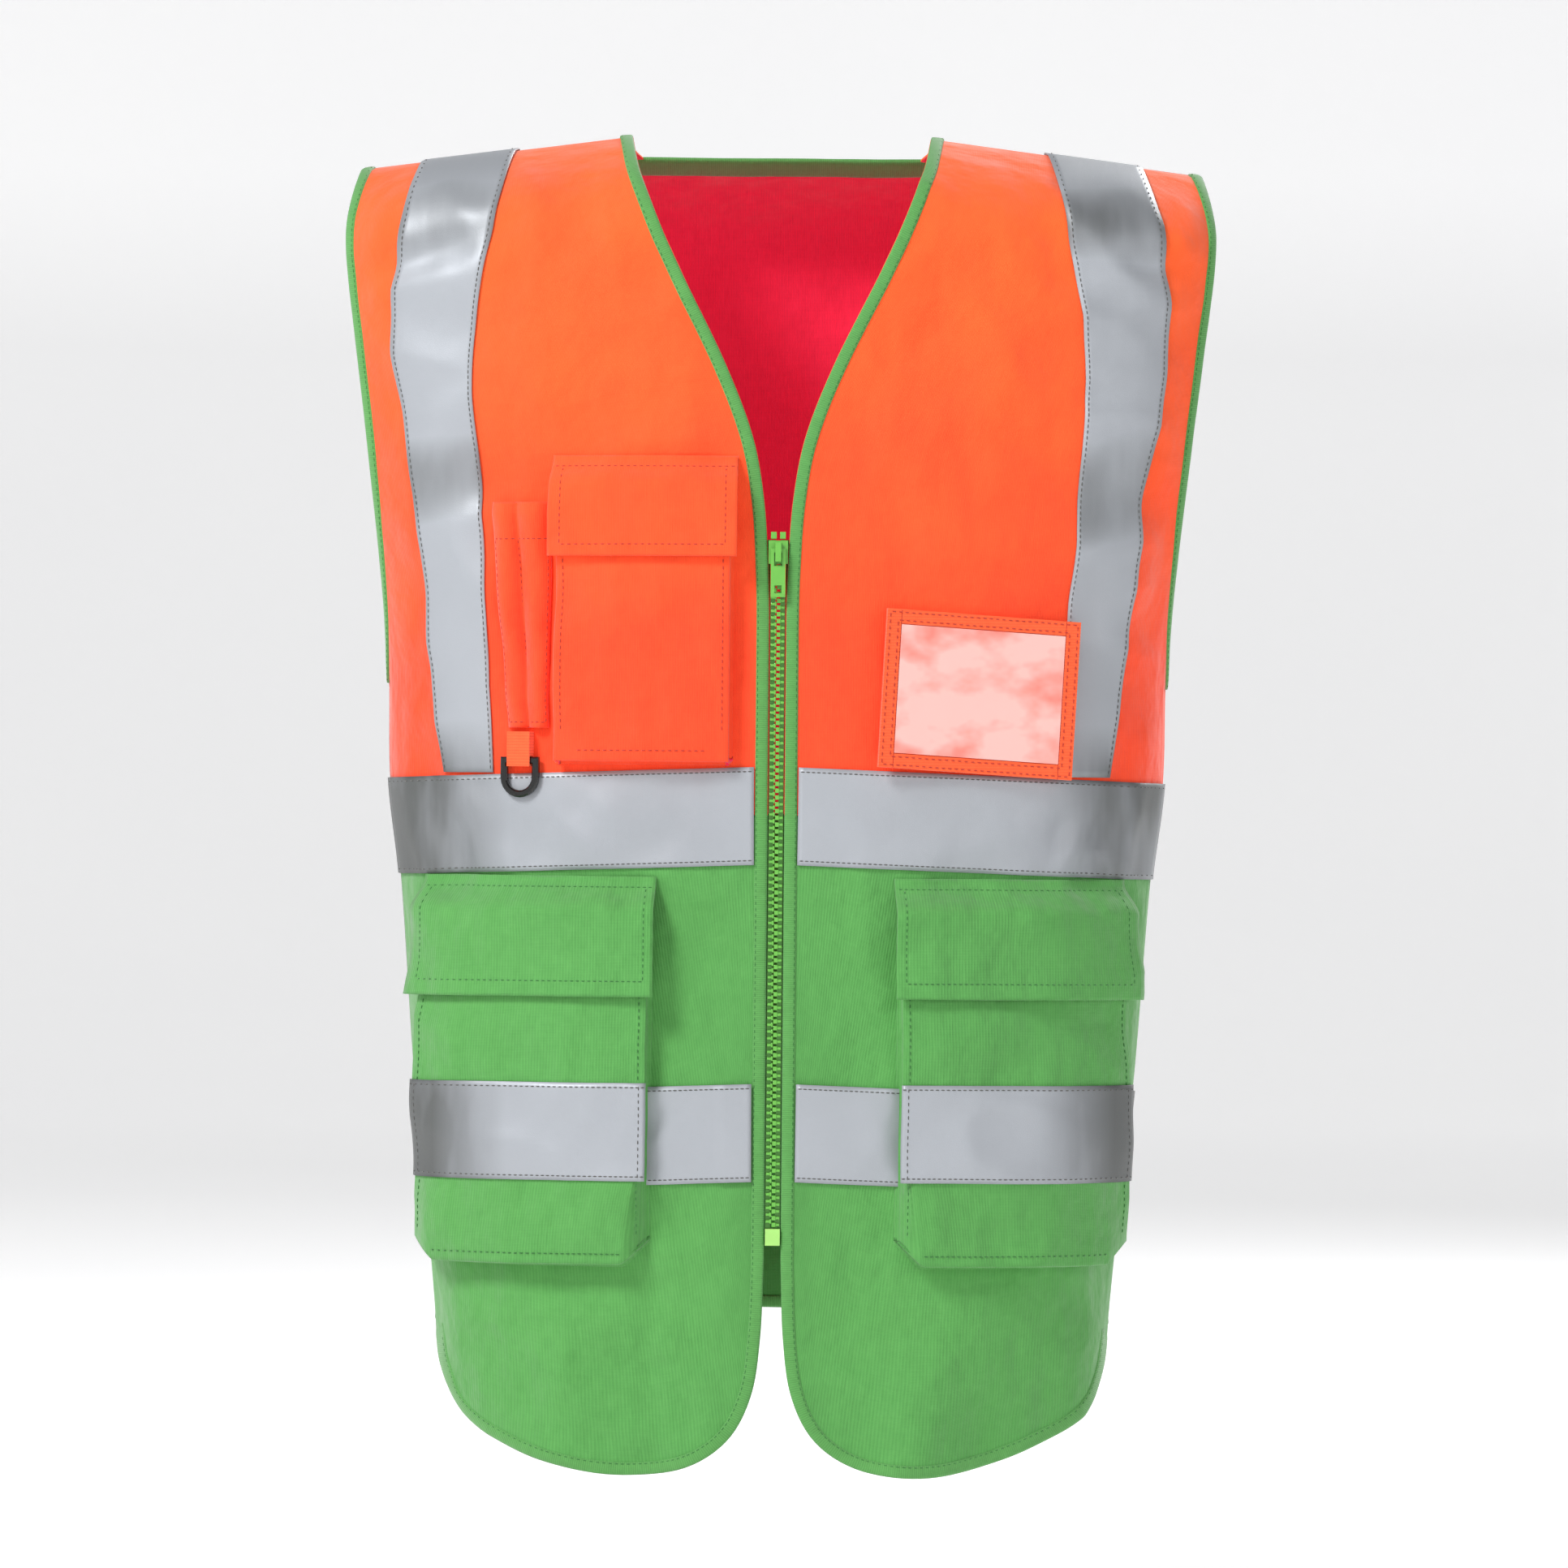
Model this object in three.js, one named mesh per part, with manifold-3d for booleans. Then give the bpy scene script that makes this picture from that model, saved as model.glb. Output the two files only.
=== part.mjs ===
// High visibility vest, size medium, zipped and hung as on a torso.
//
// Frame, in millimetres: X points to the wearer's left, Z points up and the front of the vest faces -Y.
// The origin lies midway between the two neck points of the shoulder seams, which carry the vest.
// Every cloth piece is a thin shell that follows one torso form. Its outline is drawn as seen from the
// front, and "offset" is the distance outward from the inner face of the body cloth.

import * as THREE from "three";
import { mergeVertices } from "three/addons/utils/BufferGeometryUtils.js";
import Module from "manifold-3d";

const wasm = await Module();
wasm.setup();

// Sides and colours
const LEFT = 1;
const RIGHT = -1;
const SIDES = [[RIGHT, "right"], [LEFT, "left"]];
const ORANGE = 0xff6e3c;
const GREEN = 0x69b95f;
const BINDING_GREEN = 0x6dbe64;
const SILVER = 0xbdc1c6;
const BLACK = 0x18181a;
const CLEAR_PINK = 0xf6d2cc;

// Torso form
const TORSO_DEPTH = 230;
const SQUARENESS = 2.5;
const SHOULDER_ROUNDING = 60;
const SHOULDER_SLOPE = 0.13;
const SHOULDER_SLOPE_FADE = 150;
const ARMHOLE_BULGE = 0.075;
const ARMHOLE_BULGE_HEIGHT = 120;
const ARMHOLE_BULGE_POWER = 1.3;

// Heights below the neck points
const ARMHOLE_BOTTOM = 290;
const WAIST_TAPE_TOP = 333;
const HEM_TAPE_TOP = 496.5;
const SIDE_HEM = 628;
const FRONT_HEM = 700;
const BACK_NECK_DROP = 7;

// Half widths as seen from the front
const NECK_HALF = 79;
const SHOULDER_HALF = 222;
const UPPER_ARMHOLE_HALF = 227;
const ARMHOLE_HALF = 206;
const CHEST_HALF = 205;
const WAIST_HALF = 198;
const HIP_HALF = 190;
const HEM_HALF = 177;

// Cloth and trim
const TAPE_WIDTH = 50.5;
const TAPE_DROOP = 0.035;
const BINDING_WIDTH = 6.8;
const CLOTH = 1.2;
const TAPE_THICKNESS = 0.8;
const BINDING_WRAP = 0.5;
const LAYER_GAP = 0.6;
const SEAM_GAP = 0.5;
const TRIM_GAP = 0.4;

// Zip
const ZIP_HALF_GAP = 4.3;
const ZIP_TOP = 216;
const ZIP_BOTTOM = 571;
const TOOTH_PITCH = 3.5;
const TOOTH_HEIGHT = 1.9;
const TOOTH_CLEARANCE = 0.9;
const TOP_STOP_HEIGHT = 3.5;
const TOOTH_SPINE = 0.9;
const TOOTH_THICKNESS = 5.2;
const ZIP_CENTRE_OFFSET = -0.7;
const ZIP_TAPE_THICKNESS = 1;
const ZIP_TAPE_WIDTH = 15;
const SLIDER_WIDTH = 10;
const SLIDER_LENGTH = 12;
const SLIDER_PLATE = 1.2;
const SLIDER_POST = 1;
const SLIDER_CLEARANCE = 0.35;
const BAIL_HEIGHT = 4.6;
const BAIL_WIDTH = 3;
const PULL_WIDTH = 7.6;
const PULL_LENGTH = 25;
const PULL_THICKNESS = 1.6;
const BOX_LENGTH = 8.6;

// Brace tapes, whose edges shift outward over the chest
const BRACE_INNER = [140, 153, 159, 156, 152, 149, 147];
const BRACE_OUTER = [190, 201, 200, 190, 184, 178, 173];
const BRACE_HEIGHTS = [-30, 75, 130, 190, 235, 290];

// Chest pocket on the wearer's right
const CHEST_POCKET_INNER = 24;
const CHEST_POCKET_OUTER = 113;
const CHEST_FLAP_TOP = 173;
const CHEST_FLAP_HEIGHT = 52;
const CHEST_MOUTH = 16;
const CHEST_POCKET_DEPTH = 8;
const FLAP_OVERHANG = 3;
const CHEST_POCKET_FLOOR_GAP = 2.5;

// Pen pocket beside the chest pocket
const PEN_POCKET_OUTER = 148;
const PEN_POCKET_TOP = 197;
const PEN_POCKET_BOTTOM = 314;
const PEN_DIVIDER = 130;
const PEN_POCKET_DEPTH = 10.5;
const PEN_POCKET_TAPER = 10;

// Lower pockets
const LOWER_POCKET_INNER = 64;
const LOWER_POCKET_OUTER = 176;
const LOWER_FLAP_HEIGHT = 62;
const LOWER_MOUTH = 27;
const LOWER_POCKET_DEPTH = 10;
const LOWER_POCKET_BELOW_TAPE = 44;
const LOWER_POCKET_CORNER = 12;
const POCKET_WALL = 1;
const PATCH_THICKNESS = 0.6;
const PATCH_HEIGHT = 16;
const PATCH_GAP = 0.35;
const PATCH_HALF_LENGTH = 27;

// Ring on the wearer's right
const LOOP_X = 131;
const LOOP_WIDTH = 12.5;
const LOOP_TOP = 316;
const LOOP_HEIGHT = 18;
const LOOP_THICKNESS = 0.9;
const RING_WIDTH = 21;
const RING_HEIGHT = 21;
const RING_BAR = 3.6;
const RING_BEVEL = 0.8;
const RING_CLEARANCE = 0.4;

// Identity card holder on the wearer's left
const HOLDER_X = 106;
const HOLDER_WIDTH = 103;
const HOLDER_HEIGHT = 82;
const HOLDER_TOP = 254;
const HOLDER_EDGE = 7.4;
const HOLDER_SHEET = 0.8;
const HOLDER_EDGE_THICKNESS = 1.8;
const HOLDER_WINDOW = 0.6;
const HOLDER_TURN = 0.06;
const HOLDER_LEAN = 0.026;
const HOLDER_SEAT = 0.5;

// Worked out from the sizes above
const HALF_DEPTH = TORSO_DEPTH / 2;
const CLOTH_INNER = BINDING_WIDTH + TRIM_GAP;
const WAIST_TAPE_BOTTOM = WAIST_TAPE_TOP + TAPE_WIDTH;
const HEM_TAPE_BOTTOM = HEM_TAPE_TOP + TAPE_WIDTH;
const WAIST_SEAM = WAIST_TAPE_TOP + TAPE_WIDTH / 2;
const TAPE_OFFSET = CLOTH + LAYER_GAP;
const ABOVE = 30;
const BEYOND = 300;
const COLUMN_ANGLES = [0, 10, 22, 35, 48, 60, 71, 82, 90];
const ROUNDING_ROWS = 3;
const ROW_HEIGHT = 60;
const BODY_ROWS = Math.ceil((FRONT_HEM - SHOULDER_ROUNDING) / ROW_HEIGHT) + 1;

const WIDTH_STATIONS = [
  [0, SHOULDER_HALF],
  [42, UPPER_ARMHOLE_HALF],
  [110, 221],
  [200, 211],
  [253, ARMHOLE_HALF],
  [ARMHOLE_BOTTOM, CHEST_HALF],
  [WAIST_TAPE_TOP + 8, CHEST_HALF - 1],
  [WAIST_TAPE_BOTTOM + 7, WAIST_HALF],
  [HEM_TAPE_TOP, HIP_HALF],
  [SIDE_HEM, HEM_HALF],
  [FRONT_HEM + ROW_HEIGHT, HEM_HALF - 5],
];

// ---------------------------------------------------------------- torso form

function between(stations, value) {
  const last = stations.length - 1;
  for (let i = 0; i < last; i++) {
    const [start, low] = stations[i];
    const [end, high] = stations[i + 1];
    if (value <= end) {
      const share = Math.max(0, (value - start) / (end - start));
      return low + (high - low) * share;
    }
  }
  return stations[last][1];
}

// The form is wider than the armhole edge, so that the edge is cut in front of the side.
function halfWidth(depth) {
  const rise = Math.max(0, ARMHOLE_BOTTOM - depth);
  const share = Math.min(1, rise / ARMHOLE_BULGE_HEIGHT);
  return between(WIDTH_STATIONS, depth) * (1 + ARMHOLE_BULGE * share ** ARMHOLE_BULGE_POWER);
}

function shoulderDrop(x, depth) {
  const fade = Math.max(0, 1 - depth / SHOULDER_SLOPE_FADE);
  return Math.max(0, Math.abs(x) - NECK_HALF) * SHOULDER_SLOPE * fade;
}

// A point of the front half of the form: angle 0 is the centre line, row 0 the shoulder seam.
function formPoint(angle, row) {
  const turn = Math.min(row, 1) * Math.PI / 2;
  const depth = SHOULDER_ROUNDING * (1 - Math.cos(turn)) + Math.max(0, row - 1) * ROW_HEIGHT;
  const power = 2 / SQUARENESS;
  const across = Math.sign(angle) * Math.abs(Math.sin(angle)) ** power;
  const forward = Math.max(0, Math.cos(angle)) ** power;
  const x = halfWidth(depth) * across;
  return new THREE.Vector3(x, -HALF_DEPTH * Math.sin(turn) * forward, -depth - shoulderDrop(x, depth));
}

function formNormal(angle, row) {
  const step = 0.02;
  const limit = Math.PI / 2 - 3 * step;
  const a = Math.max(-limit, Math.min(limit, angle));
  const r = Math.max(3 * step, row);
  const along = formPoint(a + step, r).sub(formPoint(a - step, r));
  const down = formPoint(a, r + step).sub(formPoint(a, r - step));
  return down.cross(along).normalize();
}

function columnAngle(index) {
  const middle = COLUMN_ANGLES.length - 1;
  const from = Math.round(index) - middle;
  return Math.sign(from) * THREE.MathUtils.degToRad(COLUMN_ANGLES[Math.abs(from)]);
}

function rowValue(index) {
  const row = Math.round(index);
  return row < ROUNDING_ROWS ? row / ROUNDING_ROWS : row - ROUNDING_ROWS + 1;
}

// The point of the front surface at a given x and height, moved outward by an offset.
function surfaceAt(x, height, offset) {
  let row = 1 + (height - SHOULDER_ROUNDING) / ROW_HEIGHT;
  if (height < SHOULDER_ROUNDING) {
    row = Math.acos(1 - height / SHOULDER_ROUNDING) / (Math.PI / 2);
  }
  const across = Math.min(1, Math.abs(x) / halfWidth(height));
  const angle = Math.sign(x) * Math.asin(across ** (SQUARENESS / 2));
  const normal = formNormal(angle, row);
  return { point: formPoint(angle, row).addScaledVector(normal, offset), normal };
}

// ---------------------------------------------------------------- solids

function solid(geometry) {
  const plain = geometry.clone();
  plain.deleteAttribute("normal");
  plain.deleteAttribute("uv");
  const merged = mergeVertices(plain, 1e-4);
  const vertProperties = new Float32Array(merged.attributes.position.array);
  const triVerts = new Uint32Array(merged.index.array);
  return new wasm.Manifold(new wasm.Mesh({ numProp: 3, vertProperties, triVerts }));
}

function geometryOf(manifold) {
  const mesh = manifold.getMesh();
  const geometry = new THREE.BufferGeometry();
  geometry.setAttribute("position", new THREE.BufferAttribute(new Float32Array(mesh.vertProperties), 3));
  geometry.setIndex(Array.from(mesh.triVerts));
  geometry.computeVertexNormals();
  return geometry;
}

// A shell over the whole front half of the form, between two offsets. Both faces are cut into the
// same triangles, so shells at different offsets stay parallel and never meet.
function shell(inner, outer) {
  const columns = 2 * (COLUMN_ANGLES.length - 1) + 1;
  const rows = ROUNDING_ROWS + BODY_ROWS + 1;
  const positions = [];
  for (const offset of [inner, outer]) {
    for (let row = 0; row < rows; row++) {
      for (let column = 0; column < columns; column++) {
        const place = [columnAngle(column), rowValue(row)];
        positions.push(...formPoint(...place).addScaledVector(formNormal(...place), offset));
      }
    }
  }
  const layer = columns * rows;
  const at = (side, row, column) => side * layer + row * columns + column;
  const index = [];
  const quad = (a, b, c, d) => index.push(a, b, c, a, c, d);
  for (let row = 0; row + 1 < rows; row++) {
    for (let column = 0; column + 1 < columns; column++) {
      const corners = [[row, column], [row + 1, column], [row + 1, column + 1], [row, column + 1]];
      quad(...corners.map((corner) => at(1, ...corner)));
      const [a, b, c, d] = corners.map((corner) => at(0, ...corner));
      index.push(a, c, b, a, d, c);
    }
    quad(at(0, row, 0), at(0, row + 1, 0), at(1, row + 1, 0), at(1, row, 0));
    const end = columns - 1;
    quad(at(1, row, end), at(1, row + 1, end), at(0, row + 1, end), at(0, row, end));
  }
  for (let column = 0; column + 1 < columns; column++) {
    const last = rows - 1;
    quad(at(0, 0, column), at(1, 0, column), at(1, 0, column + 1), at(0, 0, column + 1));
    quad(at(0, last, column + 1), at(1, last, column + 1), at(1, last, column), at(0, last, column));
  }
  const geometry = new THREE.BufferGeometry();
  geometry.setAttribute("position", new THREE.Float32BufferAttribute(positions, 3));
  geometry.setIndex(index);
  return solid(geometry);
}

// An upright wall of space whose outline is seen from the front, between two distances forward.
function prism(outline, near = SEAM_GAP / 2, far = BEYOND) {
  const clockwise = THREE.ShapeUtils.isClockWise(outline);
  const shape = new THREE.Shape(clockwise ? outline.slice().reverse() : outline);
  const geometry = new THREE.ExtrudeGeometry(shape, { depth: far - near, bevelEnabled: false });
  geometry.rotateX(Math.PI / 2);
  geometry.translate(0, -near, 0);
  return solid(geometry);
}

function piece(inner, outer, outline) {
  return shell(inner, outer).intersect(prism(outline));
}

// ---------------------------------------------------------------- outlines

function mirrored(points, side) {
  return points.map(([x, height]) => new THREE.Vector2(side * x, -height));
}

function smooth(points, steps) {
  const curve = new THREE.SplineCurve(points.map(([x, height]) => new THREE.Vector2(x, height)));
  return curve.getPoints(steps).map((point) => [point.x, point.y]);
}

function frontEdge() {
  const reach = ZIP_HALF_GAP;
  const neckline = smooth([
    [NECK_HALF, 0],
    [NECK_HALF - 7, 30],
    [NECK_HALF - 27, 76],
    [28, 125],
    [13.4, 163],
    [reach + 3, 196],
    [reach + 0.6, 232],
    [reach, 262],
  ], 14);
  const corner = smooth([
    [reach, SIDE_HEM - 38],
    [reach + 1.5, SIDE_HEM],
    [reach + 6, FRONT_HEM - 42],
    [reach + 18, FRONT_HEM - 19],
    [reach + 40, FRONT_HEM - 4.5],
    [reach + 70, FRONT_HEM],
    [HEM_HALF - 73, FRONT_HEM - 3.5],
    [HEM_HALF - 43, FRONT_HEM - 13],
    [HEM_HALF - 18, FRONT_HEM - 28],
    [HEM_HALF - 3, FRONT_HEM - 50],
    [HEM_HALF + 1, SIDE_HEM],
  ], 20);
  return [[NECK_HALF, -ABOVE], ...neckline, ...corner];
}

function armholeEdge() {
  const edge = [[SHOULDER_HALF, -ABOVE], [SHOULDER_HALF, 19]];
  for (const height of [40, 61, 94, 127, 160, 190, 218, 240, 258, 272, 282]) {
    edge.push([between(WIDTH_STATIONS, height - 15), height]);
  }
  edge.push([CHEST_HALF - 1, ARMHOLE_BOTTOM]);
  return edge;
}

function frontOutline() {
  const side = [[BEYOND, SIDE_HEM], [BEYOND, ARMHOLE_BOTTOM]];
  return [...frontEdge(), ...side, ...armholeEdge().reverse()];
}

// A strip along an edge, from a little outside it to a width inside it.
function strip(edge, outside, inside) {
  const outer = [];
  const inner = [];
  for (let i = 0; i < edge.length; i++) {
    const [x0, h0] = edge[Math.max(0, i - 1)];
    const [x1, h1] = edge[Math.min(edge.length - 1, i + 1)];
    const length = Math.hypot(x1 - x0, h1 - h0);
    const across = (h1 - h0) / length;
    const down = -(x1 - x0) / length;
    const [x, height] = edge[i];
    outer.push([x - across * outside, height - down * outside]);
    inner.push([x + across * inside, height + down * inside]);
  }
  return [...outer, ...inner.reverse()];
}

function band(top, bottom, from, to) {
  return [
    [from, top + TAPE_DROOP * from],
    [to, top + TAPE_DROOP * to],
    [to, bottom + TAPE_DROOP * to],
    [from, bottom + TAPE_DROOP * from],
  ];
}

// A band across both halves, whose ends hang lower by the droop of the tape.
function wholeBand(top, bottom) {
  const fall = TAPE_DROOP * BEYOND;
  const upper = [[-BEYOND, top + fall], [0, top], [BEYOND, top + fall]];
  const lower = [[BEYOND, bottom + fall], [0, bottom], [-BEYOND, bottom + fall]];
  return [...upper, ...lower];
}

function rectangle(left, right, top, bottom) {
  return [[left, top], [right, top], [right, bottom], [left, bottom]];
}

// A pocket shape with its two lower corners cut off.
function pocketOutline(inner, outer, top, bottom, corner) {
  const low = [[outer, bottom - corner], [outer - corner, bottom], [inner + corner, bottom]];
  return [[inner, top], [outer, top], ...low, [inner, bottom - corner]];
}

// The brace tape ends on the upper edge of the waist tape.
function braceOutline() {
  const last = BRACE_INNER.length - 1;
  const end = (x) => WAIST_TAPE_TOP + TAPE_DROOP * x - SEAM_GAP;
  const inner = BRACE_HEIGHTS.map((height, i) => [BRACE_INNER[i], height]);
  const outer = BRACE_HEIGHTS.map((height, i) => [BRACE_OUTER[i], height]);
  inner.push([BRACE_INNER[last], end(BRACE_INNER[last])]);
  outer.push([BRACE_OUTER[last], end(BRACE_OUTER[last])]);
  return [...inner, ...outer.reverse()];
}

// ---------------------------------------------------------------- body cloth

const root = new THREE.Group();

function addMesh(name, geometry, color, parent = root, roughness = 0.9) {
  const material = new THREE.MeshStandardMaterial({ color, roughness, metalness: 0 });
  const mesh = new THREE.Mesh(geometry, material);
  mesh.name = name;
  parent.add(mesh);
  return mesh;
}

function addFront(name, manifold, color, roughness) {
  return addMesh(name, geometryOf(manifold), color, root, roughness);
}

// Back pieces are front pieces reflected in the plane of the shoulder and side seams.
function addBack(name, manifold, color, roughness) {
  const geometry = geometryOf(manifold);
  geometry.scale(1, -1, 1);
  const order = geometry.index.array;
  for (let i = 0; i < order.length; i += 3) {
    [order[i], order[i + 1]] = [order[i + 1], order[i]];
  }
  geometry.computeVertexNormals();
  return addMesh(name, geometry, color, root, roughness);
}

const BINDING_LAYER = [-BINDING_WRAP, CLOTH + BINDING_WRAP];
const TAPE_LAYER = [TAPE_OFFSET, TAPE_OFFSET + TAPE_THICKNESS];

function strips(side, width) {
  const edge = prism(mirrored(strip(frontEdge(), 1, width), side));
  const armhole = prism(mirrored(strip(armholeEdge().reverse(), 1, width), side));
  return { edge, armhole };
}

function addFrontCloth(side, word) {
  const outline = prism(mirrored(frontOutline(), side));
  const inset = strips(side, CLOTH_INNER);
  const rim = strips(side, BINDING_WIDTH);
  const cloth = shell(0, CLOTH).intersect(outline).subtract(inset.edge).subtract(inset.armhole);
  const binding = shell(...BINDING_LAYER).intersect(outline);
  const upper = mirrored(wholeBand(-ABOVE - TAPE_DROOP * BEYOND, WAIST_SEAM - SEAM_GAP / 2), 1);
  const lower = mirrored(wholeBand(WAIST_SEAM + SEAM_GAP / 2, FRONT_HEM + ABOVE), 1);
  addFront(`front_chest_${word}`, cloth.intersect(prism(upper)), ORANGE);
  addFront(`front_skirt_${word}`, cloth.intersect(prism(lower)), GREEN);
  addFront(`front_binding_${word}`, binding.intersect(rim.edge), BINDING_GREEN);
  const armhole = binding.intersect(rim.armhole);
  addFront(`armhole_binding_front_${word}`, armhole, BINDING_GREEN);
}

function backHalf() {
  const neck = [[0, BACK_NECK_DROP], [NECK_HALF - 9, BACK_NECK_DROP - 2], [NECK_HALF, 0]];
  const shoulder = [[NECK_HALF, -ABOVE], ...armholeEdge()];
  return [...neck, ...shoulder, [BEYOND, ARMHOLE_BOTTOM], [BEYOND, SIDE_HEM], [0, SIDE_HEM]];
}

function backNeckEdge() {
  const half = [[NECK_HALF, 0], [NECK_HALF - 9, BACK_NECK_DROP - 2], [0, BACK_NECK_DROP]];
  const other = half.slice(0, 2).reverse().map(([x, height]) => [-x, height]);
  return [[NECK_HALF, -ABOVE], ...half, ...other, [-NECK_HALF, -ABOVE]];
}

function addBackCloth() {
  const outline = prism(mirrored(backHalf(), LEFT)).add(prism(mirrored(backHalf(), RIGHT)));
  const neckInset = prism(mirrored(strip(backNeckEdge(), 1, CLOTH_INNER), RIGHT));
  const neckRim = prism(mirrored(strip(backNeckEdge(), 1, BINDING_WIDTH), RIGHT));
  const hemInset = prism(mirrored(rectangle(-BEYOND, BEYOND, SIDE_HEM - CLOTH_INNER, FRONT_HEM), LEFT));
  let cloth = shell(0, CLOTH).intersect(outline).subtract(neckInset).subtract(hemInset);
  for (const [side] of SIDES) {
    cloth = cloth.subtract(strips(side, CLOTH_INNER).armhole);
  }
  const upper = mirrored(wholeBand(-ABOVE - TAPE_DROOP * BEYOND, WAIST_SEAM - SEAM_GAP / 2), 1);
  const lower = mirrored(wholeBand(WAIST_SEAM + SEAM_GAP / 2, FRONT_HEM + ABOVE), 1);
  addBack("back_chest", cloth.intersect(prism(upper)), ORANGE);
  addBack("back_skirt", cloth.intersect(prism(lower)), GREEN);
  const binding = shell(...BINDING_LAYER).intersect(outline);
  let neckBinding = binding.intersect(neckRim);
  for (const [side, word] of SIDES) {
    const rim = strips(side, BINDING_WIDTH).armhole;
    addBack(`armhole_binding_back_${word}`, binding.intersect(rim), BINDING_GREEN);
    neckBinding = neckBinding.subtract(rim);
  }
  addBack("back_neck_binding", neckBinding, BINDING_GREEN);
  const hem = mirrored(rectangle(-BEYOND, BEYOND, SIDE_HEM - BINDING_WIDTH, SIDE_HEM), LEFT);
  addBack("back_hem_binding", binding.intersect(prism(hem)), BINDING_GREEN);
}

function addTapes() {
  const clothEdge = ZIP_HALF_GAP + CLOTH_INNER;
  const waistBack = mirrored(wholeBand(WAIST_TAPE_TOP, WAIST_TAPE_BOTTOM), 1);
  const hemBack = mirrored(rectangle(-BEYOND, BEYOND, HEM_TAPE_TOP, HEM_TAPE_BOTTOM), 1);
  addBack("waist_tape_back", piece(...TAPE_LAYER, waistBack), SILVER, 0.4);
  addBack("hem_tape_back", piece(...TAPE_LAYER, hemBack), SILVER, 0.4);
  for (const [side, word] of SIDES) {
    const brace = mirrored(braceOutline(), side);
    const waist = mirrored(band(WAIST_TAPE_TOP, WAIST_TAPE_BOTTOM, clothEdge, BEYOND), side);
    const hemEnd = LOWER_POCKET_INNER - SEAM_GAP;
    const hem = mirrored(rectangle(clothEdge, hemEnd, HEM_TAPE_TOP, HEM_TAPE_BOTTOM), side);
    addFront(`brace_tape_front_${word}`, piece(...TAPE_LAYER, brace), SILVER, 0.4);
    addBack(`brace_tape_back_${word}`, piece(...TAPE_LAYER, brace), SILVER, 0.4);
    addFront(`waist_tape_front_${word}`, piece(...TAPE_LAYER, waist), SILVER, 0.4);
    addFront(`hem_tape_front_${word}`, piece(...TAPE_LAYER, hem), SILVER, 0.4);
  }
}

// ---------------------------------------------------------------- pockets

// The layers of a flapped pocket, from the cloth outward.
function pocketLayers(depth) {
  const wallOut = TAPE_OFFSET + depth;
  const frontIn = wallOut + TRIM_GAP;
  const frontOut = frontIn + POCKET_WALL;
  const loop = [frontOut + PATCH_GAP, frontOut + PATCH_GAP + PATCH_THICKNESS];
  const hook = [loop[1] + PATCH_GAP, loop[1] + PATCH_GAP + PATCH_THICKNESS];
  const flapIn = hook[1] + PATCH_GAP;
  const flap = [flapIn, flapIn + POCKET_WALL];
  return { wall: [TAPE_OFFSET, wallOut], front: [frontIn, frontOut], loop, hook, flap };
}

function addFlappedPocket(name, side, size) {
  const { inner, outer, flapTop, flapHeight, mouth, bottom, corner, depth } = size;
  const layers = pocketLayers(depth);
  const top = flapTop + mouth;
  const edge = 2 * POCKET_WALL;
  const whole = mirrored(pocketOutline(inner, outer, top, bottom, corner), side);
  const inside = [inner + edge, outer - edge, top - ABOVE, bottom - edge, corner];
  const hollow = mirrored(pocketOutline(...inside), side);
  addFront(`${name}_gusset`, piece(...layers.wall, whole).subtract(prism(hollow)), size.color);
  addFront(`${name}_front`, piece(...layers.front, whole), size.color);
  const flapBottom = flapTop + flapHeight;
  const flapShape = [inner - FLAP_OVERHANG, outer + FLAP_OVERHANG, flapTop, flapBottom, FLAP_OVERHANG];
  const flap = mirrored(pocketOutline(...flapShape), side);
  const turned = mirrored(rectangle(flapShape[0], flapShape[1], flapTop, flapTop + 2 * POCKET_WALL), side);
  const turnedIn = piece(TAPE_OFFSET, layers.flap[1] - POCKET_WALL / 2, turned);
  addFront(`${name}_flap`, piece(...layers.flap, flap).add(turnedIn), size.color);
  const middle = (inner + outer) / 2;
  const patchBottom = flapBottom - 2 * FLAP_OVERHANG;
  const half = PATCH_HALF_LENGTH;
  const patchTop = patchBottom - PATCH_HEIGHT;
  const patch = mirrored(rectangle(middle - half, middle + half, patchTop, patchBottom), side);
  addFront(`${name}_loop_patch`, piece(...layers.loop, patch), BLACK);
  addFront(`${name}_hook_patch`, piece(...layers.hook, patch), BLACK);
  return layers;
}

function addChestPocket() {
  addFlappedPocket("chest_pocket", RIGHT, {
    inner: CHEST_POCKET_INNER,
    outer: CHEST_POCKET_OUTER,
    flapTop: CHEST_FLAP_TOP,
    flapHeight: CHEST_FLAP_HEIGHT,
    mouth: CHEST_MOUTH,
    bottom: WAIST_TAPE_TOP + TAPE_DROOP * CHEST_POCKET_INNER - CHEST_POCKET_FLOOR_GAP,
    corner: FLAP_OVERHANG,
    depth: CHEST_POCKET_DEPTH,
    color: ORANGE,
  });
}

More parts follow.
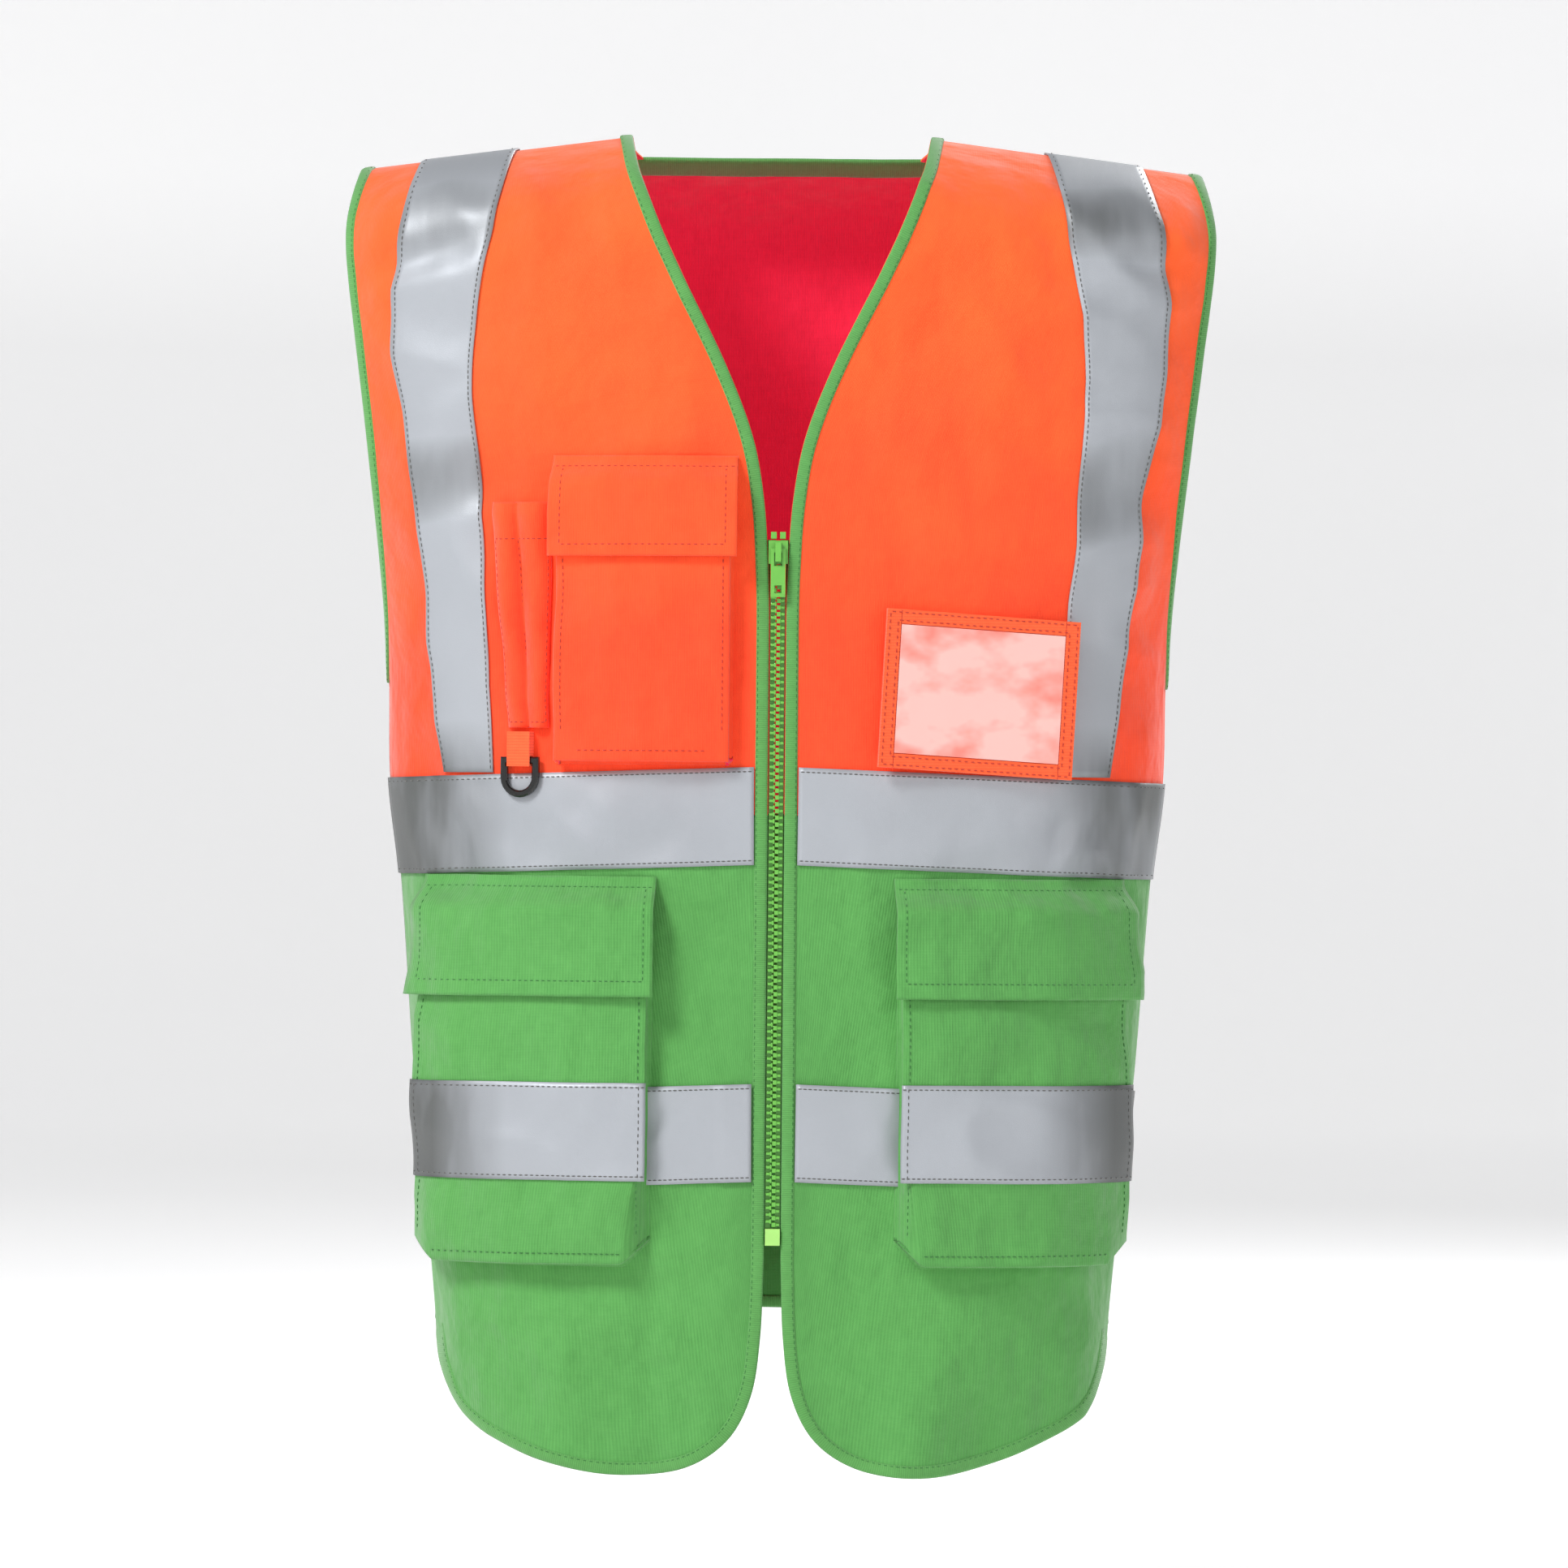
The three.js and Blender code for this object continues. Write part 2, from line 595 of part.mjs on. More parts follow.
function addLowerPockets() {
  for (const [side, word] of SIDES) {
    const layers = addFlappedPocket(`lower_pocket_${word}`, side, {
      inner: LOWER_POCKET_INNER,
      outer: LOWER_POCKET_OUTER,
      flapTop: WAIST_TAPE_BOTTOM + TAPE_DROOP * (LOWER_POCKET_OUTER + FLAP_OVERHANG) + SEAM_GAP,
      flapHeight: LOWER_FLAP_HEIGHT,
      mouth: LOWER_MOUTH,
      bottom: HEM_TAPE_BOTTOM + LOWER_POCKET_BELOW_TAPE,
      corner: LOWER_POCKET_CORNER,
      depth: LOWER_POCKET_DEPTH,
      color: GREEN,
    });
    const out = layers.front[1] + TRIM_GAP;
    const span = [LOWER_POCKET_INNER, LOWER_POCKET_OUTER];
    const tape = mirrored(rectangle(...span, HEM_TAPE_TOP, HEM_TAPE_BOTTOM), side);
    addFront(`pocket_tape_${word}`, piece(out, out + TAPE_THICKNESS, tape), SILVER, 0.4);
  }
}

// One bag with two slots for pens, open at the top.
function addPenPocket() {
  const inner = CHEST_POCKET_OUTER + FLAP_OVERHANG + 2 * SEAM_GAP;
  const out = TAPE_OFFSET + PEN_POCKET_DEPTH;
  const wall = POCKET_WALL;
  const outer = PEN_POCKET_OUTER;
  const foot = outer - PEN_POCKET_TAPER;
  const mouthEdge = [[inner, PEN_POCKET_TOP], [outer, PEN_POCKET_TOP]];
  const bag = mirrored([...mouthEdge, [foot, PEN_POCKET_BOTTOM], [inner, PEN_POCKET_BOTTOM]], RIGHT);
  let body = piece(TAPE_OFFSET, out + wall, bag);
  const floor = PEN_POCKET_BOTTOM - wall;
  const mouth = PEN_POCKET_TOP - ABOVE;
  const slots = [
    rectangle(inner + wall, PEN_DIVIDER - wall, mouth, floor),
    [[PEN_DIVIDER, mouth], [outer - wall, mouth], [foot - wall, floor], [PEN_DIVIDER, floor]],
  ];
  for (const slot of slots) {
    body = body.subtract(piece(0, out, mirrored(slot, RIGHT)));
  }
  addFront("pen_pocket", body, ORANGE);
}

// ---------------------------------------------------------------- zip

function block(x0, x1, y0, y1, z0, z1) {
  const geometry = new THREE.BoxGeometry(x1 - x0, y1 - y0, z1 - z0);
  geometry.translate((x0 + x1) / 2, (y0 + y1) / 2, (z0 + z1) / 2);
  return solid(geometry);
}

const ZIP_Y = -HALF_DEPTH - ZIP_CENTRE_OFFSET;
const TOOTH_FRONT = ZIP_Y - TOOTH_THICKNESS / 2;
const TOOTH_BACK = ZIP_Y + TOOTH_THICKNESS / 2;
const CHAIN_EDGE = ZIP_HALF_GAP - SEAM_GAP;

function mirrorX(manifold, side) {
  if (side === LEFT) {
    return manifold;
  }
  const geometry = geometryOf(manifold);
  geometry.scale(-1, 1, 1);
  const order = geometry.index.array;
  for (let i = 0; i < order.length; i += 3) {
    [order[i], order[i + 1]] = [order[i + 1], order[i]];
  }
  return solid(geometry);
}

// One row of teeth along its spine; a gap at the centre lets the slider's post pass.
function toothRow() {
  const spine = CHAIN_EDGE - TOOTH_SPINE;
  const outline = [[CHAIN_EDGE, ZIP_TOP], [CHAIN_EDGE, ZIP_BOTTOM], [spine, ZIP_BOTTOM]];
  const count = Math.floor((ZIP_BOTTOM - ZIP_TOP) / TOOTH_PITCH);
  for (let i = 0; i < count; i++) {
    const low = ZIP_BOTTOM - (i + 0.5) * TOOTH_PITCH + TOOTH_HEIGHT / 2;
    const tooth = [[spine, low], [TOOTH_CLEARANCE, low]];
    outline.push(...tooth, [TOOTH_CLEARANCE, low - TOOTH_HEIGHT], [spine, low - TOOTH_HEIGHT]);
  }
  outline.push([spine, ZIP_TOP]);
  return prism(mirrored(outline, LEFT), -TOOTH_BACK, -TOOTH_FRONT);
}

function addZipSides() {
  const tapeOffset = ZIP_CENTRE_OFFSET - BINDING_WRAP - 0.2;
  const tapeLayer = [tapeOffset - ZIP_TAPE_THICKNESS / 2, tapeOffset + ZIP_TAPE_THICKNESS / 2];
  const from = ZIP_HALF_GAP - SEAM_GAP / 2;
  const tapeShape = rectangle(from, from + ZIP_TAPE_WIDTH, ZIP_TOP, ZIP_BOTTOM + BOX_LENGTH);
  const teeth = toothRow();
  const stopTop = ZIP_TOP - SEAM_GAP - TOP_STOP_HEIGHT;
  const stop = block(TOOTH_CLEARANCE, CHAIN_EDGE, TOOTH_FRONT, TOOTH_BACK, -ZIP_TOP + SEAM_GAP, -stopTop);
  for (const [side, word] of SIDES) {
    addFront(`zip_tape_${word}`, piece(...tapeLayer, mirrored(tapeShape, side)), GREEN);
    addFront(`zip_teeth_${word}`, mirrorX(teeth, side), GREEN, 0.5);
    addFront(`zip_top_stop_${word}`, mirrorX(stop, side), GREEN, 0.5);
  }
}

function addZipEnd() {
  const top = -ZIP_BOTTOM - SEAM_GAP;
  const bottom = top - BOX_LENGTH;
  const wall = 1;
  const near = TOOTH_BACK + SLIDER_CLEARANCE;
  const far = TOOTH_FRONT - SLIDER_CLEARANCE;
  const outside = block(-CHAIN_EDGE, CHAIN_EDGE, far - wall, near + wall, bottom, top);
  const hollow = block(-CHAIN_EDGE + wall, BEYOND, far, near, bottom + wall, ABOVE);
  addFront("zip_box", outside.subtract(hollow), GREEN, 0.5);
  const pin = block(TOOTH_CLEARANCE, CHAIN_EDGE, TOOTH_FRONT, TOOTH_BACK, bottom + wall + SEAM_GAP, top);
  addFront("zip_pin", pin, GREEN, 0.5);
}

function addSlider() {
  const top = -ZIP_TOP - SEAM_GAP;
  const bottom = top - SLIDER_LENGTH;
  const half = SLIDER_WIDTH / 2;
  const far = TOOTH_FRONT - SLIDER_CLEARANCE;
  const near = TOOTH_BACK + SLIDER_CLEARANCE;
  const front = block(-half, half, far - SLIDER_PLATE, far, bottom, top);
  const back = block(-half, half, near, near + SLIDER_PLATE, bottom, top);
  const post = block(-SLIDER_POST / 2, SLIDER_POST / 2, far - 0.1, near + 0.1, top - 3, top);
  const face = far - SLIDER_PLATE;
  const bail = block(-BAIL_WIDTH / 2, BAIL_WIDTH / 2, face - BAIL_HEIGHT, face + 0.1, bottom + 1, top - 1);
  const eyeFront = face - BAIL_HEIGHT + SLIDER_PLATE;
  const eye = block(-BAIL_WIDTH, BAIL_WIDTH, eyeFront, face, bottom + 2.2, top - 2.2);
  addFront("zip_slider", front.add(back).add(post).add(bail.subtract(eye)), GREEN, 0.4);
  addPull(face, top);
}

// The pull hangs by its cross bar inside the bail.
function addPull(face, sliderTop) {
  const room = BAIL_HEIGHT - SLIDER_PLATE;
  const y = face - room / 2;
  const top = sliderTop - 4.2;
  const bar = 2;
  const eyeHalf = BAIL_WIDTH / 2 + 0.6;
  const half = PULL_WIDTH / 2;
  const y0 = y - PULL_THICKNESS / 2;
  const y1 = y + PULL_THICKNESS / 2;
  const plate = block(-half, half, y0, y1, top - PULL_LENGTH, top);
  const eye = block(-eyeHalf, eyeHalf, y0 - 1, y1 + 1, top - bar - 7, top - bar);
  const hole = block(-half + 2, half - 2, y0 - 1, y1 + 1, top - PULL_LENGTH + 2, top - PULL_LENGTH + 6);
  addFront("zip_pull", plate.subtract(eye).subtract(hole), GREEN, 0.4);
}

// ---------------------------------------------------------------- ring and card holder

// A group whose own -Y points straight out of the chest at one place, with X level.
function standingGroup(x, height, offset) {
  const { point, normal } = surfaceAt(x, height, offset);
  const group = new THREE.Group();
  group.position.copy(point);
  group.rotation.z = Math.atan2(normal.x, -normal.y);
  root.add(group);
  return group;
}

function addRing() {
  const eye = RING_BAR + 2 * RING_CLEARANCE;
  const loopDepth = eye + 2 * LOOP_THICKNESS;
  const group = standingGroup(-LOOP_X, LOOP_TOP + LOOP_HEIGHT / 2, TAPE_OFFSET);
  const y = -loopDepth / 2;
  const low = -LOOP_HEIGHT / 2;
  const outside = block(-LOOP_WIDTH / 2, LOOP_WIDTH / 2, -loopDepth, 0, low, LOOP_HEIGHT / 2);
  const eyeLow = low + LOOP_THICKNESS;
  const inside = block(-LOOP_WIDTH, LOOP_WIDTH, y - eye / 2, y + eye / 2, eyeLow, eyeLow + eye);
  addMesh("ring_loop", geometryOf(outside.subtract(inside)), ORANGE, group);
  const half = RING_WIDTH / 2;
  const barTop = low + LOOP_THICKNESS + RING_CLEARANCE + RING_BAR;
  const shape = new THREE.Shape();
  const drop = RING_HEIGHT - half;
  shape.moveTo(-half, 0);
  shape.lineTo(-half, -drop);
  shape.absarc(0, -drop, half, Math.PI, 2 * Math.PI, false);
  shape.lineTo(half, 0);
  shape.closePath();
  const hole = new THREE.Path();
  const inner = half - RING_BAR;
  hole.moveTo(-inner, -RING_BAR);
  hole.lineTo(inner, -RING_BAR);
  hole.lineTo(inner, -drop);
  hole.absarc(0, -drop, inner, 0, Math.PI, true);
  hole.closePath();
  shape.holes.push(hole);
  const depth = RING_BAR - 2 * RING_BEVEL;
  const bevel = { bevelThickness: RING_BEVEL, bevelSize: RING_BEVEL, bevelOffset: -RING_BEVEL };
  const geometry = new THREE.ExtrudeGeometry(shape, { depth, curveSegments: 6, bevelSegments: 1, ...bevel });
  geometry.rotateX(Math.PI / 2);
  geometry.translate(0, y + depth / 2, barTop);
  addMesh("d_ring", geometryOf(solid(geometry)), BLACK, group, 0.25);
}

function addCardHolder() {
  const group = standingGroup(HOLDER_X, HOLDER_TOP, CLOTH + HOLDER_SEAT);
  const turned = new THREE.Group();
  turned.rotation.set(-HOLDER_LEAN, HOLDER_TURN, 0);
  group.add(turned);
  const half = HOLDER_WIDTH / 2;
  const edge = HOLDER_EDGE;
  const back = -HOLDER_SHEET;
  const rim = back - TRIM_GAP;
  const face = rim - HOLDER_EDGE_THICKNESS;
  const low = -HOLDER_HEIGHT;
  addMesh("card_back_sheet", geometryOf(block(-half, half, back, 0, low, 0)), ORANGE, turned);
  const inner = half - edge;
  addMesh("card_edge_right", geometryOf(block(-half, -inner, face, rim, low, 0)), ORANGE, turned);
  addMesh("card_edge_left", geometryOf(block(inner, half, face, rim, low, 0)), ORANGE, turned);
  const clear = inner - TRIM_GAP;
  addMesh("card_edge_top", geometryOf(block(-clear, clear, face, rim, -edge, 0)), ORANGE, turned);
  addMesh("card_edge_bottom", geometryOf(block(-clear, clear, face, rim, low, low + edge)), ORANGE, turned);
  const pane = block(-clear, clear, face, face + HOLDER_WINDOW, low + edge + TRIM_GAP, -edge - TRIM_GAP);
  addMesh("card_window", geometryOf(pane), CLEAR_PINK, turned, 0.2);
}

addBackCloth();
for (const [side, word] of SIDES) {
  addFrontCloth(side, word);
}
addTapes();
addChestPocket();
addLowerPockets();
addPenPocket();
addZipSides();
addZipEnd();
addSlider();
addRing();
addCardHolder();

export default root;
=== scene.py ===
"""Visual model of a high visibility vest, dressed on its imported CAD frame.

Lengths are in metres. Cloth pieces are grids laid on one torso form, the same form the CAD
shells follow. A place on it is given by x, seen from the front, and by depth, the distance
down from the shoulder seam.
"""

import logging
import math
from dataclasses import dataclass
from enum import Enum
from typing import Any, Callable, Sequence

import bmesh
import bpy
from mathutils import Matrix, Vector, noise


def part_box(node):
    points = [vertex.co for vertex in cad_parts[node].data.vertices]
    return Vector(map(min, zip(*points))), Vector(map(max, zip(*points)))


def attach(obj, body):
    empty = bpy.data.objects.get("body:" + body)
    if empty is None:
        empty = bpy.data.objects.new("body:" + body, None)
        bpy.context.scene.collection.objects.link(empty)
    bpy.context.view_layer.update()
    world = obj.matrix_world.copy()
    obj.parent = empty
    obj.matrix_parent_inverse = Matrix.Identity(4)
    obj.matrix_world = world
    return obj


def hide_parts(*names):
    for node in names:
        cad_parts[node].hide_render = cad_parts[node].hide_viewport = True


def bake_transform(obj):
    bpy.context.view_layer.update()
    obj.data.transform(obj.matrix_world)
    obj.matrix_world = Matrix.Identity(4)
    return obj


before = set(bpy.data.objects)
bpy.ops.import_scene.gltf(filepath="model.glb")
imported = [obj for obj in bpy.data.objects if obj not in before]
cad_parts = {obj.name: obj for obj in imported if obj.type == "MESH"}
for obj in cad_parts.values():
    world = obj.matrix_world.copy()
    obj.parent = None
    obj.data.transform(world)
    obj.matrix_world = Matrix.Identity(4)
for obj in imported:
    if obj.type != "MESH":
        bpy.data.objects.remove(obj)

LOG = logging.getLogger("vest")
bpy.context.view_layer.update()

Points = Sequence[tuple[float, float]]
Colour = tuple[float, float, float, float]
Path = Callable[[float], Vector]
Place = Callable[[float, float], Vector]
Stitches = list[tuple[Vector, Vector]]


class Side(Enum):
    """Wearer's side, with the sign of its x."""

    RIGHT = -1
    LEFT = 1

    @property
    def word(self) -> str:
        """Name used in the frame's nodes."""
        return self.name.lower()

    @property
    def body(self) -> str:
        """Body of this side's front."""
        return f"front_{self.word}"


class Facing(Enum):
    """Front or back half of the vest, with the sign of its y."""

    FRONT = -1
    BACK = 1


# ------------------------------------------------------------------ numbers

CURVE_STEPS = 12


def smoothstep(low: float, high: float, value: float) -> float:
    """Smooth rise from 0 at low to 1 at high."""
    share = min(1.0, max(0.0, (value - low) / (high - low)))
    return share * share * (3 - 2 * share)


def mix(low: float, high: float, share: float) -> float:
    """Value a share of the way from low to high."""
    return low + (high - low) * share


def within(margin: float, share: float) -> float:
    """Share of a span that keeps a margin at both ends."""
    return margin + share * (1 - 2 * margin)


def along(stations: Points, value: float) -> float:
    """Smooth curve through (place, size) stations.

    Args:
        stations: Places in rising order, each with its size.
        value: The place asked for.

    Returns:
        The size there, on a smooth curve through every station.
    """
    if value <= stations[0][0]:
        return stations[0][1]
    for index in range(len(stations) - 1):
        start, low = stations[index]
        end, high = stations[index + 1]
        if value <= end:
            before = stations[max(0, index - 1)]
            after = stations[min(len(stations) - 1, index + 2)]
            span = end - start
            slope_in = (high - before[1]) / (end - before[0]) * span
            slope_out = (after[1] - low) / (after[0] - start) * span
            t = (value - start) / span
            rise = (2 * t**3 - 3 * t**2 + 1) * low + (3 * t**2 - 2 * t**3) * high
            return rise + (t**3 - 2 * t**2 + t) * slope_in + (t**3 - t**2) * slope_out
    return stations[-1][1]


def resampled(points: Points, count: int) -> list[tuple[float, float]]:
    """Points spaced evenly along a polyline.

    Args:
        points: The polyline's corners.
        count: How many points to return.

    Returns:
        The evenly spaced points, both ends among them.
    """
    lengths = [0.0]
    for (x0, y0), (x1, y1) in zip(points, points[1:]):
        lengths.append(lengths[-1] + math.hypot(x1 - x0, y1 - y0))
    result = []
    segment = 0
    for index in range(count):
        goal = lengths[-1] * index / (count - 1)
        while segment < len(points) - 2 and lengths[segment + 1] < goal:
            segment += 1
        span = lengths[segment + 1] - lengths[segment]
        share = (goal - lengths[segment]) / span if span else 0.0
        (x0, y0), (x1, y1) = points[segment], points[segment + 1]
        result.append((mix(x0, x1, share), mix(y0, y1, share)))
    return result


def curved(points: Points, count: int) -> list[tuple[float, float]]:
    """Even points along a smooth curve through the given ones.

    Args:
        points: The points to pass through.
        count: How many points to return.

    Returns:
        The evenly spaced points.
    """
    fine = []
    last = len(points) - 1
    xs = [(float(index), x) for index, (x, _) in enumerate(points)]
    ys = [(float(index), y) for index, (_, y) in enumerate(points)]
    for step in range(last * CURVE_STEPS + 1):
        fine.append((along(xs, step / CURVE_STEPS), along(ys, step / CURVE_STEPS)))
    return resampled(fine, count)


# ------------------------------------------------------------------ torso form


KEPT_PARTS = (
    "card_back_sheet", "ring_loop", "chest_pocket_loop_patch",
    "lower_pocket_right_loop_patch", "lower_pocket_left_loop_patch",
)
KEPT_BOXES = [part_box(name) for name in KEPT_PARTS]
CALM_MARGIN = 0.030


def calm_at(x: float, depth: float) -> float:
    """Share of the folds left near the parts that keep their stiff shape.

    Args:
        x: Distance from the centre line, with its sign.
        depth: Distance down from the shoulder seam.

    Returns:
        0 over such a part, 1 well away from all of them.
    """
    share = 1.0
    for low, high in KEPT_BOXES:
        aside = max(low.x - x, x - high.x, 0.0)
        away = max(-high.z - depth, depth + low.z, 0.0)
        share = min(share, smoothstep(0.0, CALM_MARGIN, math.hypot(aside, away)))
    return share


@dataclass(frozen=True)
class Folds:
    """Heights and places of the soft folds; each dent is (height, depth, spread)."""

    broad: float = 0.0040
    slanted: float = 0.0038
    ridge: float = 0.0026
    fine: float = 0.0006
    flute: float = 0.0036
    flute_start: float = 0.56
    flute_full: float = 0.68
    dents: tuple[tuple[float, float, float], ...] = (
        (0.0034, 0.052, 0.010), (0.0026, 0.190, 0.016),
    )
    dent_slope: float = 0.20
    dent_start: float = 0.115
    dent_full: float = 0.150
    waist: float = 0.0030
    waist_depth: float = 0.365
    waist_spread: float = 0.035
    waist_start: float = 0.135
    waist_full: float = 0.160
    zip_margin: float = 0.012
    zip_full: float = 0.06
    seam_start: float = 0.90
    shoulder_full: float = 0.05


@dataclass(frozen=True)
class Form:
    """Torso form that the cloth follows, as in the CAD shells."""

    half_depth: float = 0.115
    squareness: float = 2.5
    rounding: float = 0.060
    neck_half: float = 0.079
    slope: float = 0.13
    slope_fade: float = 0.150
    bulge: float = 0.075
    bulge_height: float = 0.120
    bulge_power: float = 1.3
    armhole_bottom: float = 0.290
    folds: Folds = Folds()
    widths: tuple[tuple[float, float], ...] = (
        (0.0, 0.222), (0.042, 0.227), (0.110, 0.221), (0.200, 0.211), (0.253, 0.206),
        (0.290, 0.205), (0.341, 0.204), (0.391, 0.198), (0.497, 0.190), (0.628, 0.177),
        (0.760, 0.172),
    )

    def swell(self, depth: float) -> float:
        """How much wider the form is than the armhole edge."""
        rise = min(1.0, max(0.0, self.armhole_bottom - depth) / self.bulge_height)
        return 1 + self.bulge * rise**self.bulge_power

    def half_width(self, depth: float) -> float:
        """Half width of the form, seen from the front."""
        return along(self.widths, depth) * self.swell(depth)

    def drop(self, x: float, depth: float) -> float:
        """How far the shoulder slope lowers a place."""
        fade = max(0.0, 1 - depth / self.slope_fade)
        return max(0.0, abs(x) - self.neck_half) * self.slope * fade

    def bare(self, across: float, depth: float) -> Vector:
        """Point of the front surface at a share of the half width.

        Args:
            across: Share of the half width, from -1 to 1.
            depth: Distance down from the shoulder seam.

        Returns:
            The point, before any fold.
        """
        turn = min(1.0, max(0.0, depth) / self.rounding)
        ridge = math.sqrt(max(0.0, 1 - (1 - turn) ** 2))
        x = self.half_width(depth) * across
        forward = max(0.0, 1 - abs(across) ** self.squareness) ** (1 / self.squareness)
        return Vector((x, -self.half_depth * ridge * forward, -depth - self.drop(x, depth)))

    def normal(self, across: float, depth: float) -> Vector:
        """Outward direction of the front surface.

        Args:
            across: Share of the half width, from -1 to 1.
            depth: Distance down from the shoulder seam.

        Returns:
            A unit vector.
        """
        step = 0.004
        a = min(0.985, max(-0.985, across))
        d = max(0.004, depth)
        aside = self.bare(a + step, d) - self.bare(a - step, d)
        down = self.bare(a, d + step * 0.5) - self.bare(a, d - step * 0.5)
        return down.cross(aside).normalized()

    def at(self, across: float, depth: float, offset: float, facing: Facing) -> Vector:
        """Place on the form.

        Args:
            across: Share of the half width, from -1 to 1.
            depth: Distance down from the shoulder seam.
            offset: Distance outward from the inner face of the cloth.
            facing: Which half of the vest it is on.

        Returns:
            The point in the vest's frame.
        """
        normal = self.normal(across, depth)
        point = self.bare(across, depth) + normal * (offset + self.fold(across, depth, facing))
        if abs(across) > 0.999:
            point.y = min(point.y, 0.0)
        if facing is Facing.BACK:
            point.y = -point.y
        return point

    def fold(self, across: float, depth: float, facing: Facing) -> float:
        """Soft folds that all layers share, kept off the zip, the seams and the kept parts.

        Args:
            across: Share of the half width, from -1 to 1.
            depth: Distance down from the shoulder seam.
            facing: Which half of the vest it is on.

        Returns:
            How far the fold stands out, less than nothing where it dips.
        """
        folds = self.folds
        x = across * self.half_width(depth)
        side = abs(x)
        seed = 3.0 if facing is Facing.FRONT else 11.0
        broad = noise.noise(Vector((x * 9 + seed, depth * 5.0, seed)))
        slanted = noise.noise(Vector((x * 16 + depth * 13 + seed, depth * 7 - x * 9, seed * 2)))
        crossed = noise.noise(Vector((x * 13 - depth * 21, depth * 10 + x * 15, seed * 3)))
        ridge = 1 - 2 * abs(crossed)
        fine = noise.noise(Vector((x * 60 + depth * 35, depth * 42 - x * 25, seed)))
        soft = folds.broad * broad + folds.slanted * slanted + folds.ridge * ridge + folds.fine * fine
        flute = folds.flute * math.sin(x * 62 + seed + 2 * broad)
        flute *= smoothstep(folds.flute_start, folds.flute_full, depth)
        level = depth - folds.dent_slope * (side - folds.dent_full) + 0.010 * broad
        dent = 0.0
        for height, middle, spread in folds.dents:
            dent -= height * math.exp(-(((level - middle) / spread) ** 2))
        dent *= smoothstep(folds.dent_start, folds.dent_full, side)
        waist = folds.waist * math.sin(side * 210 + depth * 70 + 3 * slanted)
        waist *= smoothstep(folds.waist_start, folds.waist_full, side)
        waist *= math.exp(-(((depth - folds.waist_depth) / folds.waist_spread) ** 2))
        front = facing is Facing.FRONT
        centre = smoothstep(folds.zip_margin, folds.zip_full, side) if front else 1.0
        seam = smoothstep(1.0, folds.seam_start, abs(across) * self.swell(depth))
        seam *= smoothstep(0.0, folds.shoulder_full, depth)
        calm = calm_at(x, depth) if front else 1.0
        return (soft + flute + dent + waist) * centre * seam * calm


